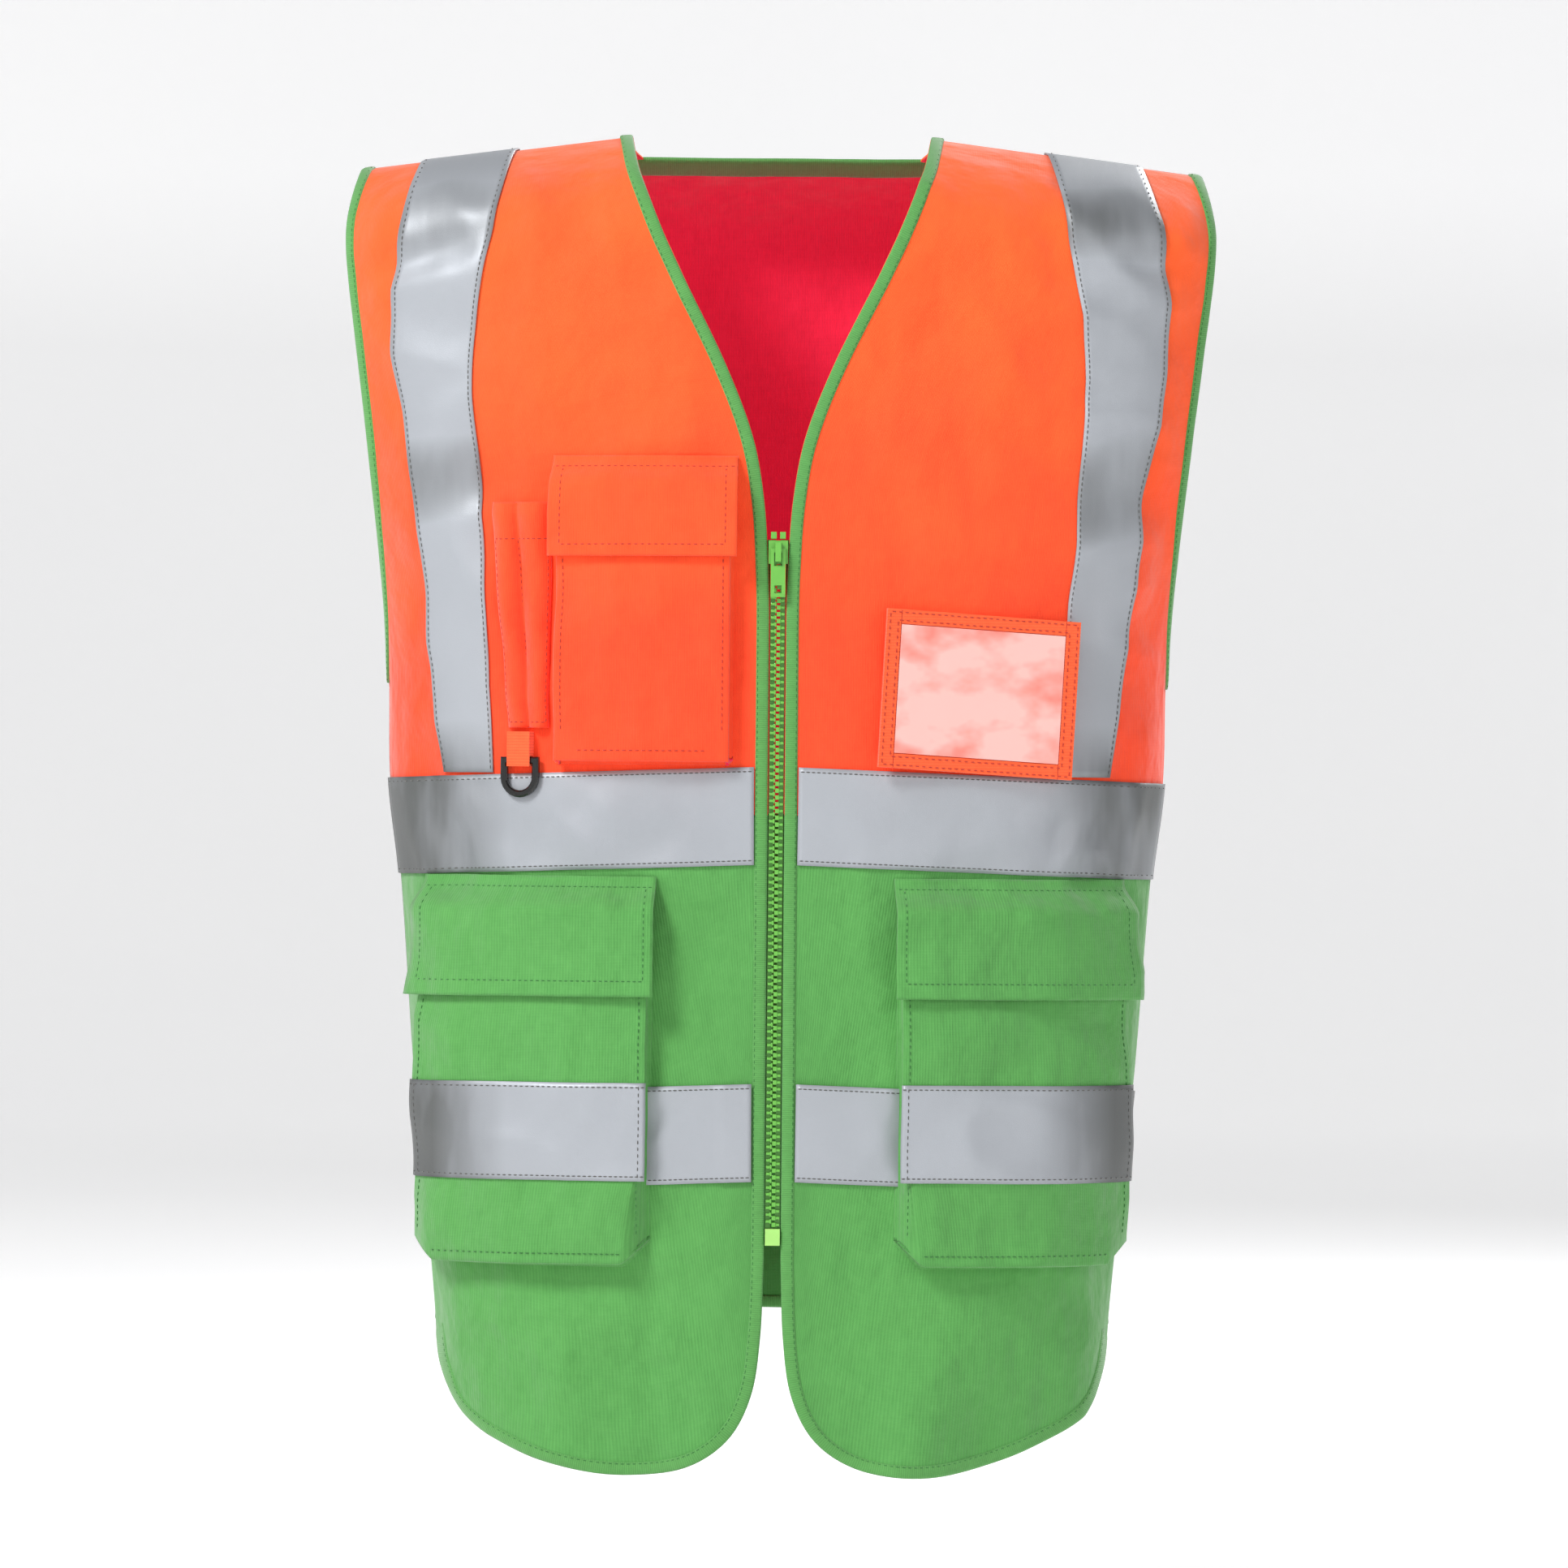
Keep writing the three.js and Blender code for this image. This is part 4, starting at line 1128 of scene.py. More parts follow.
@dataclass
class BackCloth:
    """Chest and skirt panels of the back."""

    shop: Workshop
    thickness: float = 0.0012
    neck_end: float = 0.090

    def chest(self) -> bpy.types.Object:
        """Orange upper panel, from the shoulders to the seam under the waist tape.

        Returns:
            The piece, on the back.
        """
        low = OUTLINE.back_neck
        seam = OUTLINE.waist_seam

        def place(across: float, down: float) -> Vector:
            """Where a share of the grid lies.

            Args:
                across: Share of the grid across.
                down: Share of the grid down.

            Returns:
                The point in the vest's frame.
            """
            share = across * 2 - 1
            x = abs(share) * FORM.half_width(0.0)
            neck = FORM.neck_half
            top = low if x < neck else mix(low, 0.0, smoothstep(neck, self.neck_end, x))
            depth = mix(top, seam, down)
            return FORM.at(share * OUTLINE.armhole(depth), depth, self.thickness, Facing.BACK)

        looks = self.shop.wardrobe
        obj = self.shop.sheet(
            "back_chest_cloth", 120, 100, place, self.thickness, True,
            looks.orange, looks.crimson, "hung",
        )
        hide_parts("back_chest")
        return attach(obj, "back")

    def skirt(self) -> bpy.types.Object:
        """Green lower panel, from the waist seam to the hem.

        Returns:
            The piece, on the back.
        """
        seam = OUTLINE.waist_seam + 0.0003
        hem = OUTLINE.side_hem

        def place(across: float, down: float) -> Vector:
            """Where a share of the grid lies.

            Args:
                across: Share of the grid across.
                down: Share of the grid down.

            Returns:
                The point in the vest's frame.
            """
            share = across * 2 - 1
            depth = mix(seam, hem, down)
            return FORM.at(share * OUTLINE.armhole(depth), depth, self.thickness, Facing.BACK)

        looks = self.shop.wardrobe
        obj = self.shop.sheet(
            "back_skirt_cloth", 120, 70, place, self.thickness, True,
            looks.green, looks.green_inside, "hung",
        )
        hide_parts("back_skirt")
        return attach(obj, "back")


@dataclass
class FrontCloth:
    """Chest and skirt panels of one front."""

    shop: Workshop
    side: Side
    thickness: float = 0.0012
    columns: int = 70

    def chest(self) -> bpy.types.Object:
        """Orange upper panel between neckline and armhole.

        Returns:
            The piece, on its front.
        """
        seam = OUTLINE.waist_seam

        def place(across: float, down: float) -> Vector:
            """Where a share of the grid lies.

            Args:
                across: Share of the grid across.
                down: Share of the grid down.

            Returns:
                The point in the vest's frame.
            """
            depth = mix(0.0, seam, down)
            inner = OUTLINE.neckline(depth) / FORM.half_width(depth)
            share = mix(inner, OUTLINE.armhole(depth), across) * self.side.value
            return FORM.at(share, depth, self.thickness, Facing.FRONT)

        looks = self.shop.wardrobe
        name = f"front_chest_cloth_{self.side.word}"
        flip = self.side is Side.RIGHT
        obj = self.shop.sheet(
            name, self.columns, 110, place, self.thickness, flip,
            looks.orange, looks.crimson, "hung",
        )
        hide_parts(f"front_chest_{self.side.word}")
        ride_front(obj, self.side, shoulder=True)
        return obj

    def skirt(self) -> bpy.types.Object:
        """Green lower panel with its rounded front corner.

        Returns:
            The piece, on its front.
        """
        seam = OUTLINE.waist_seam + 0.0003
        last = self.columns
        hem = OUTLINE.hem(0.0, last + 1)

        def place(across: float, down: float) -> Vector:
            """Where a share of the grid lies.

            Args:
                across: Share of the grid across.
                down: Share of the grid down.

            Returns:
                The point in the vest's frame.
            """
            position = across * last
            index = min(last - 1, int(position))
            part = position - index
            x = mix(hem[index][0], hem[index + 1][0], part)
            foot = mix(hem[index][1], hem[index + 1][1], part)
            start = mix(OUTLINE.gap / FORM.half_width(seam), 1.0, across)
            end = min(1.0, x / FORM.half_width(foot))
            share = mix(start, end, down) * self.side.value
            return FORM.at(share, mix(seam, foot, down), self.thickness, Facing.FRONT)

        looks = self.shop.wardrobe
        name = f"front_skirt_cloth_{self.side.word}"
        flip = self.side is Side.RIGHT
        obj = self.shop.sheet(
            name, self.columns, 90, place, self.thickness, flip,
            looks.green, looks.green_inside, "hung",
        )
        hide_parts(f"front_skirt_{self.side.word}")
        ride_front(obj, self.side)
        return obj


# ------------------------------------------------------------------ tapes


@dataclass
class Tapes:
    """Silver tapes and their two rows of stitches."""

    shop: Workshop
    inner: float = 0.00185
    thickness: float = 0.0007
    zip_lap: float = 0.0275
    brace_middle: float = 0.155
    stitch_shares: tuple[float, float] = (0.045, 0.955)

    @property
    def outer(self) -> float:
        """Offset of the outer face from the cloth's inner face."""
        return self.inner + self.thickness

    @staticmethod
    def band_depth(top: float, x: float, down: float) -> float:
        """Depth of a place on a level tape, which droops away from the centre."""
        return top + abs(x) * OUTLINE.droop + OUTLINE.tape * down

    def band_place(self, top: float, low: float, side: int, facing: Facing, lap: float = 0.0) -> Place:
        """Place function of a level tape.

        Args:
            top: Depth of its upper edge at the centre.
            low: Distance of its inner end from the centre, or -1 for a tape across the back.
            side: Sign of x.
            facing: Which half of the vest it is on.
            lap: Distance from the centre up to which a second end lies on top.

        Returns:
            Where each share of the grid lies.
        """

        def place(across: float, down: float) -> Vector:
            """Where a share of the grid lies.

            Args:
                across: Share of the grid across.
                down: Share of the grid down.

            Returns:
                The point in the vest's frame.
            """
            if low < 0:
                share = across * 2 - 1
            else:
                share = side * mix(low / FORM.half_width(top), 1.0, across)
            x = share * FORM.half_width(top)
            depth = self.band_depth(top, x, down)
            edge = OUTLINE.armhole(depth)
            over = smoothstep(lap + 0.0008, lap - 0.0008, abs(x)) if lap else 0.0
            raised = self.thickness * over
            return FORM.at(share * edge, depth, self.outer + raised, facing)

        return place

    def band(
        self, name: str, stands_for: str, place: Place, columns: int, flip: bool, owner: str,
        shoulder: Side | None = None,
    ) -> None:
        """Make one tape with stitches along both edges.

        Args:
            name: The piece's name.
            stands_for: Its CAD node.
            place: Its place function.
            columns: Grid cells across.
            flip: True where the grid would face inward.
            owner: The body it rides on.
            shoulder: The side, for a tape that turns over the shoulder.
        """
        looks = self.shop.wardrobe
        upright = shoulder is not None or "brace" in name
        rows = 90 if upright else 16
        obj = self.shop.sheet(
            name, columns, rows, place, self.thickness, flip, looks.silver, looks.silver
        )
        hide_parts(stands_for)
        if upright:
            lines = [row_of(lambda s, e=e: place(e, within(0.004, s))) for e in self.stitch_shares]
        else:
            lines = [row_of(lambda s, e=e: place(within(0.004, s), e)) for e in self.stitch_shares]
        seam = self.shop.stitches(f"{name}_stitches", lines, looks.thread)
        for piece in (obj, seam):
            if shoulder is None:
                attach(piece, owner)
            else:
                ride_front(piece, shoulder, shoulder=True)

    def brace_place(self, side: Side, facing: Facing, foot: float) -> Place:
        """Place function of a brace tape, which runs down from the shoulder.

        Args:
            side: The wearer's side.
            facing: Which half of the vest it is on.
            foot: Depth where the tape ends.

        Returns:
            Where each share of the grid lies.
        """

        def place(across: float, down: float) -> Vector:
            """Where a share of the grid lies.

            Args:
                across: Share of the grid across.
                down: Share of the grid down.

            Returns:
                The point in the vest's frame.
            """
            depth = mix(0.0, foot, down)
            inner, outer = OUTLINE.braces(depth)
            x = mix(inner, outer, across)
            return FORM.at(side.value * x / FORM.half_width(depth), depth, self.outer, facing)

        return place

    def build(self) -> None:
        """Make every tape."""
        for label, top in (("waist", OUTLINE.waist_top), ("hem", OUTLINE.hem_tape_top)):
            place = self.band_place(top, -1, 1, Facing.BACK)
            self.band(f"{label}_tape_back_cloth", f"{label}_tape_back", place, 120, True, "back")
            for side in Side:
                node = f"{label}_tape_front_{side.word}"
                low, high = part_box(node)
                start = min(abs(low.x), abs(high.x))
                lap = self.zip_lap if label == "hem" and side is Side.RIGHT else 0.0
                place = self.band_place(top, start, side.value, Facing.FRONT, lap)
                self.band(f"{node}_cloth", node, place, 70, side is Side.RIGHT, side.body)
        for side in Side:
            front = f"brace_tape_front_{side.word}"
            foot = OUTLINE.waist_top + self.brace_middle * OUTLINE.droop - 0.0012
            place = self.brace_place(side, Facing.FRONT, foot)
            self.band(f"{front}_cloth", front, place, 12, side is Side.RIGHT, side.body, side)
            rear = f"brace_tape_back_{side.word}"
            place = self.brace_place(side, Facing.BACK, foot)
            self.band(f"{rear}_cloth", rear, place, 12, side is Side.LEFT, "back")


# ------------------------------------------------------------------ bindings


@dataclass
class Bindings:
    """Green edge bindings: thin rounded tubes folded over the cut edges."""

    shop: Workshop
    lift: float = 0.00065
    swell: float = 0.00165
    thread_lift: float = 0.00195

    def strip(
        self, nodes: Sequence[str], rim: Points, inside: Points, side: int, facing: Facing, steps: int
    ) -> tuple[bpy.types.Object, bpy.types.Object]:
        """Make one binding and its stitch row.

        Args:
            nodes: CAD nodes it stands for.
            rim: Its outer edge, as (x, depth).
            inside: Its inner edge, as (x, depth).
            side: Sign of x.
            facing: Which half of the vest it is on.
            steps: Grid cells along it.

        Returns:
            The binding and its stitches.
        """
        name = f"{nodes[0]}_cloth"
        edge = self.on_form(rim, side, facing)
        inner = self.on_form(inside, side, facing)
        out = self.outward(rim, side, facing)

        def place(around: float, length: float) -> Vector:
            """Where a share of the tube lies.

            Args:
                around: Share of the turn round it.
                length: Share of its length.

            Returns:
                The point in the vest's frame.
            """
            angle = around * 2 * math.pi
            middle = (edge(length) + inner(length)) / 2
            half = (edge(length) - inner(length)) / 2
            round_ = math.copysign(abs(math.cos(angle)) ** 0.7, math.cos(angle))
            rise = math.copysign(abs(math.sin(angle)) ** 0.6, math.sin(angle))
            puff = 1 + 0.10 * noise.noise(middle * 60)
            return middle + half * round_ + out(length) * (self.lift + self.swell * rise * puff)

        looks = self.shop.wardrobe
        tube = self.shop.tube(name, 12, steps, place, looks.binding)
        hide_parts(*nodes)

        def seam(share: float) -> Vector:
            """Path of the stitch row."""
            return inner(share).lerp(edge(share), 0.16) + out(share) * self.thread_lift

        rows = self.shop.stitches(f"{name}_stitches", [row_of(seam)], looks.green_thread)
        return tube, rows

    @staticmethod
    def on_form(points: Points, side: int, facing: Facing) -> Path:
        """Path on the form through (x, depth) points, by share.

        Args:
            points: The points to join.
            side: Sign of x.
            facing: Which half of the vest it is on.

        Returns:
            The path.
        """

        def path(share: float) -> Vector:
            """Place at a share of the way.

            Args:
                share: Share from the first point to the last.

            Returns:
                The point in the vest's frame.
            """
            position = share * (len(points) - 1)
            index = min(len(points) - 2, int(position))
            part = position - index
            x = mix(points[index][0], points[index + 1][0], part)
            depth = mix(points[index][1], points[index + 1][1], part)
            across = min(1.0, abs(x) / FORM.half_width(depth))
            return FORM.at(math.copysign(across, x * side), depth, 0.0, facing)

        return path

    @staticmethod
    def outward(points: Points, side: int, facing: Facing) -> Path:
        """Outward direction along the same points, by share.

        Args:
            points: The points of the path.
            side: Sign of x.
            facing: Which half of the vest it is on.

        Returns:
            The direction at each share.
        """

        def direction(share: float) -> Vector:
            """Outward direction at a share of the way.

            Args:
                share: Share from the first point to the last.

            Returns:
                A unit vector.
            """
            x, depth = points[round(share * (len(points) - 1))]
            across = min(0.99, abs(x) / FORM.half_width(depth))
            normal = FORM.normal(math.copysign(across, x * side), depth)
            if facing is Facing.BACK:
                normal.y = -normal.y
            return normal

        return direction

    @staticmethod
    def inset(points: Points, width: float) -> list[tuple[float, float]]:
        """Points moved sideways into the cloth, for an edge that runs down and then outward.

        Args:
            points: The edge's points.
            width: How far to move them.

        Returns:
            The moved points.
        """
        moved = []
        last = len(points) - 1
        for index, (x, depth) in enumerate(points):
            x0, d0 = points[max(0, index - 2)]
            x1, d1 = points[min(last, index + 2)]
            length = math.hypot(x1 - x0, d1 - d0)
            moved.append((x + (d1 - d0) / length * width, depth - (x1 - x0) / length * width))
        return moved

    def front(self, side: Side) -> None:
        """Binding of one front, from the neck point round the hem.

        Args:
            side: The wearer's side.
        """
        edge = OUTLINE.front_edge()
        inner = self.inset(edge, OUTLINE.binding)
        foot = FORM.half_width(OUTLINE.side_hem)
        inner = [(min(x, foot), depth) for x, depth in inner]
        name = f"front_binding_{side.word}"
        pieces = self.strip([name], edge, inner, side.value, Facing.FRONT, 420)
        for piece in pieces:
            ride_front(piece, side, shoulder=True)

    @staticmethod
    def reach(x: float, depth: float) -> float:
        """Distance from the centre one binding width inside x, measured over the cloth.

        Args:
            x: Distance of the edge from the centre.
            depth: Distance down from the shoulder seam.

        Returns:
            The distance from the centre.
        """
        half = FORM.half_width(depth)
        start = FORM.bare(min(1.0, x / half), depth)
        low, high = x - OUTLINE.binding, x
        for _ in range(24):
            middle = (low + high) / 2
            if (FORM.bare(middle / half, depth) - start).length > OUTLINE.binding:
                low = middle
            else:
                high = middle
        return (low + high) / 2

    def armhole(self, side: Side, facing: Facing) -> None:
        """Binding of one armhole half.

        Args:
            side: The wearer's side.
            facing: Which half of the vest it is on.
        """
        depths = [FORM.armhole_bottom * i / 80 for i in range(81)]
        half = [FORM.half_width(d) * OUTLINE.armhole(d) for d in depths]
        edge = list(zip(half, depths))
        inner = [(self.reach(x, depth), depth) for x, depth in edge]
        word = "front" if facing is Facing.FRONT else "back"
        name = f"armhole_binding_{word}_{side.word}"
        pieces = self.strip([name], edge, inner, side.value, facing, 130)
        for piece in pieces:
            if facing is Facing.FRONT:
                ride_front(piece, side, shoulder=True)
            else:
                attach(piece, "back")

    def neck(self) -> None:
        """Binding across the back of the neck."""
        low = OUTLINE.back_neck
        half = FORM.neck_half
        edge = [(mix(-half, half, i / 60), low - 0.0004) for i in range(61)]
        inner = [(x, low + OUTLINE.binding) for x, _ in edge]
        pieces = self.strip(["back_neck_binding"], edge, inner, 1, Facing.BACK, 90)
        for piece in pieces:
            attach(piece, "back")

    def hem(self) -> None:
        """Binding along the back hem."""
        low = OUTLINE.side_hem
        half = FORM.half_width(low)
        edge = [(mix(-half, half, i / 120), low) for i in range(121)]
        inner = [(x, low - OUTLINE.binding) for x, _ in edge]
        pieces = self.strip(["back_hem_binding"], edge, inner, 1, Facing.BACK, 220)
        for piece in pieces:
            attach(piece, "back")

    def build(self) -> None:
        """Make every binding."""
        for side in Side:
            self.front(side)
            for facing in Facing:
                self.armhole(side, facing)
        self.neck()
        self.hem()


# ------------------------------------------------------------------ pockets


@dataclass
class Pouch:
    """A bellows pocket with its flap, sewn on a front."""

    shop: Workshop
    name: str
    flap_body: str
    side: Side
    corner: float
    mouth_rise: float
    flap_margin: float
    flap_foot: float
    slot: str
    cloth: bpy.types.Material
    inner: bpy.types.Material
    lean: float = 0.0
    wall_x: tuple[float, ...] = (-0.0012, 0.0, 0.0022, 0.0004, 0.0011)
    wall_rise: tuple[float, ...] = (0.0, 0.03, 0.5, 0.93, 1.0)
    steep: float = 0.11
    face_end: float = 0.78
    ground: float = 0.0015
    sag: float = 0.0016
    foot_drop: float = 0.0014
    crease: float = 0.0013
    diagonal: float = 0.0009
    flap_lift: float = 0.0031
    flap_seam: float = 0.0030
    flap_wave: float = 0.0010
    flap_stitch: float = 0.0056

    def __post_init__(self) -> None:
        """Read the pocket's and flap's sizes from the frame."""
        low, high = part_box(f"{self.name}_front")
        self.left, self.right = low.x, high.x
        self.top, self.bottom = -high.z, -low.z
        low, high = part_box(f"{self.name}_flap")
        self.flap_left, self.flap_right = low.x, high.x
        self.flap_top, self.flap_bottom = -high.z, -low.z

    @property
    def thread(self) -> bpy.types.Material:
        """Thread that goes with the pocket's cloth."""
        looks = self.shop.wardrobe
        return looks.orange_thread if self.slot == "orange_cloth" else looks.green_thread

    @staticmethod
    def at(x: float, depth: float, offset: float) -> Vector:
        """Point over the front cloth."""
        return FORM.at(x / FORM.half_width(depth), depth, offset, Facing.FRONT)

    def on_face(self, x: float, depth: float, lift: float) -> Vector:
        """Point a little above the pocket's outer face."""
        return self.at(x, depth, self.puff(x, depth) + lift)

    def foot(self, x: float) -> float:
        """Depth of the pocket's lower edge, with its cut corners."""
        near = min(x - self.left, self.right - x)
        return self.bottom - max(0.0, self.corner - near)

    def puff(self, x: float, depth: float) -> float:
        """Offset of the pocket's outer face.

        Args:
            x: Distance from the centre line, with its sign.
            depth: Distance down from the shoulder seam.

        Returns:
            The offset from the inner face of the front's cloth.
        """
        across = (x - self.left) / (self.right - self.left)
        down = (depth - self.top) / (self.bottom - self.top)
        sag = self.sag * math.sin(math.pi * min(1.0, max(0.0, across))) * smoothstep(0.2, 0.7, down)
        seed = self.left * 40
        crease = noise.noise(Vector((x * 22, depth * 16, seed))) * self.crease
        diagonal = noise.noise(Vector((x * 40 + depth * 25, depth * 30 - x * 18, seed)))
        diagonal *= self.diagonal
        held = smoothstep(0.13, 0.30, down)
        level = self.mouth_rise - self.foot_drop * smoothstep(0.5, 1.0, down)
        return level + sag + (crease + diagonal) * held

    def wall(self, share: float) -> tuple[float, float, float]:
        """Cross profile of the pocket: inset, rise, and place between the walls.

        Args:
            share: Grid share across the pocket.

        Returns:
            Inset from the edge, share of the rise, and share of the face.
        """
        near = min(share, 1 - share)
        if near >= self.steep:
            return self.wall_x[-1], 1.0, (share - self.steep) / (1 - 2 * self.steep)
        position = near / self.steep * (len(self.wall_x) - 1)
        index = min(len(self.wall_x) - 2, int(position))
        part = position - index
        inset = mix(self.wall_x[index], self.wall_x[index + 1], part)
        rise = mix(self.wall_rise[index], self.wall_rise[index + 1], part)
        return inset, rise, 0.0 if share < 0.5 else 1.0

    def shell_place(self, across: float, down: float) -> Vector:
        """Where a share of the pocket's grid lies.

        Args:
            across: Share of the grid across.
            down: Share of the grid down.

        Returns:
            The point in the vest's frame.
        """
        inset, rise, face = self.wall(across)
        drawn = self.lean * smoothstep(0.42, 0.80, down)
        inside = self.side is Side.RIGHT
        near_zip = (face == 1.0) if inside else (face == 0.0)
        pull = drawn * rise
        left = self.left + inset + (0.0 if inside else pull)
        right = self.right - inset - (pull if inside else 0.0)
        if near_zip and 0.1 < rise < 0.9:
            zigzag = drawn * 0.30
            left, right = (left, right + zigzag) if inside else (left - zigzag, right)
        x = mix(left, right, face)
        folded = down > self.face_end
        foot_inset, foot_rise, _ = self.wall(0.5 + down / 2) if folded else (0.0, 1.0, 0.0)
        low = self.foot(x) - foot_inset
        depth = low if folded else mix(self.top, low, min(1.0, down / self.face_end))
        rise_here = self.puff(x, min(depth, self.bottom)) - self.ground
        return self.at(x, depth, self.ground + rise_here * min(rise, foot_rise))

    def shell(self) -> None:
        """Pocket front with its folded bellows walls."""
        steps = [(i / 8) * self.steep for i in range(9)]
        face = [self.steep + (1 - 2 * self.steep) * i / 46 for i in range(1, 46)]
        shares = steps + face + [1 - s for s in reversed(steps)]
        drops = [self.face_end * i / 60 for i in range(61)]
        drops += [self.face_end + 0.22 * i / 8 for i in range(1, 9)]

        def place(across: float, down: float) -> Vector:
            """Where a share of the grid lies.

            Args:
                across: Share of the grid across.
                down: Share of the grid down.

            Returns:
                The point in the vest's frame.
            """
            column = across * (len(shares) - 1)
            row = down * (len(drops) - 1)
            i, j = min(len(shares) - 2, int(column)), min(len(drops) - 2, int(row))
            share = mix(shares[i], shares[i + 1], column - i)
            drop = mix(drops[j], drops[j + 1], row - j)
            return self.shell_place(share, drop)

        obj = self.shop.sheet(
            f"{self.name}_cloth", len(shares) - 1, len(drops) - 1, place, 0.0006, False,
            self.cloth, self.inner,
        )
        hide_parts(f"{self.name}_front", f"{self.name}_gusset")
        ride_front(obj, self.side)

    def flap_place(self, across: float, down: float) -> Vector:
        """Where a share of the flap's grid lies.

        Args:
            across: Share of the grid across.
            down: Share of the grid down.

        Returns:
            The point in the vest's frame.
        """
        depth = mix(self.flap_top, self.flap_bottom, down)
        x = mix(self.flap_left, self.flap_right, across)
        over = self.puff(x, max(depth, self.top)) + self.flap_lift
        lift = smoothstep(0.0, 0.30, down)
        wave = self.flap_wave * noise.noise(Vector((x * 26, depth * 20, self.left * 30)))
        wave *= smoothstep(0.3, 0.9, down)
        flare = self.flap_wave * smoothstep(0.7, 1.0, down) + wave
        return self.at(x, depth, mix(self.flap_seam, over + flare, lift))

    def flap(self) -> None:
        """Flap with its stitch rows, its top edge laid on the front; both are baked in place, on no body.
        """
        obj = self.shop.sheet(
            f"{self.name}_flap_cloth", 56, 34, self.flap_place, 0.0010, False,
            self.cloth, self.inner,
        )
        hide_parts(f"{self.name}_flap")
        side = self.flap_margin / (self.flap_right - self.flap_left)
        height = self.flap_bottom - self.flap_top
        top, foot = self.flap_stitch / height, 1 - self.flap_foot / height
        lines = [
            row_of(lambda s: self.flap_place(within(side, s), foot)),
            row_of(lambda s: self.flap_place(side, mix(top, foot, s))),
            row_of(lambda s: self.flap_place(1 - side, mix(top, foot, s))),
            row_of(lambda s: self.flap_place(within(0.01, s), top)),
        ]
        seam = self.shop.stitches(f"{self.name}_flap_stitches", lines, self.thread)
        for piece in (obj, seam):
            self.side.body
            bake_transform(piece)

    def seams(self) -> None:
        """Stitch rows beside the pocket's edges."""
        high, foot = self.top + 0.03, self.bottom - 0.016
        lines = [
            row_of(lambda s, x=x: self.on_face(x, mix(high, foot, s), 0.0002))
            for x in (self.left + 0.004, self.right - 0.004)
        ]
        start, end, low = self.left + 0.012, self.right - 0.012, self.bottom - 0.006
        lines.append(row_of(lambda s: self.on_face(mix(start, end, s), low, 0.0002)))
        seam = self.shop.stitches(f"{self.name}_stitches", lines, self.thread)
        ride_front(seam, self.side)

    def build(self) -> None:
        """Make the pocket, its flap and seams, and finish its kept patches."""
        self.shell()
        self.flap()
        self.seams()
        for part in ("hook_patch", "loop_patch"):
            self.shop.dress(f"{self.name}_{part}", self.shop.wardrobe.hooks)


@dataclass
class PocketTape:
    """Silver tape across a lower pocket."""

    pouch: Pouch
    node: str

    def build(self) -> None:
        """Make the tape and its stitches."""
        pouch = self.pouch
        shop = pouch.shop
        low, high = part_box(self.node)
        top, foot = -high.z, -low.z

        def place(across: float, down: float) -> Vector:
            """Where a share of the grid lies.

            Args:
                across: Share of the grid across.
                down: Share of the grid down.

            Returns:
                The point in the vest's frame.
            """
            x = mix(low.x, high.x, across)
            depth = mix(top, foot, down)
            near = min(across, 1 - across)
            edge = smoothstep(0.0, 0.012, near)
            return pouch.on_face(x, depth, mix(0.0002, 0.0011, edge))

        silver = shop.wardrobe.silver
        obj = shop.sheet(f"{self.node}_cloth", 60, 16, place, 0.0006, False, silver, silver)
        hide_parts(self.node)
        lines = [row_of(lambda s, e=e: place(s, e)) for e in (0.045, 0.955)]
        lines += [row_of(lambda s, e=e: place(e, within(0.02, s))) for e in (0.03, 0.97)]
        seam = shop.stitches(f"{self.node}_stitches", lines, shop.wardrobe.thread)
        for piece in (obj, seam):
            ride_front(piece, pouch.side)


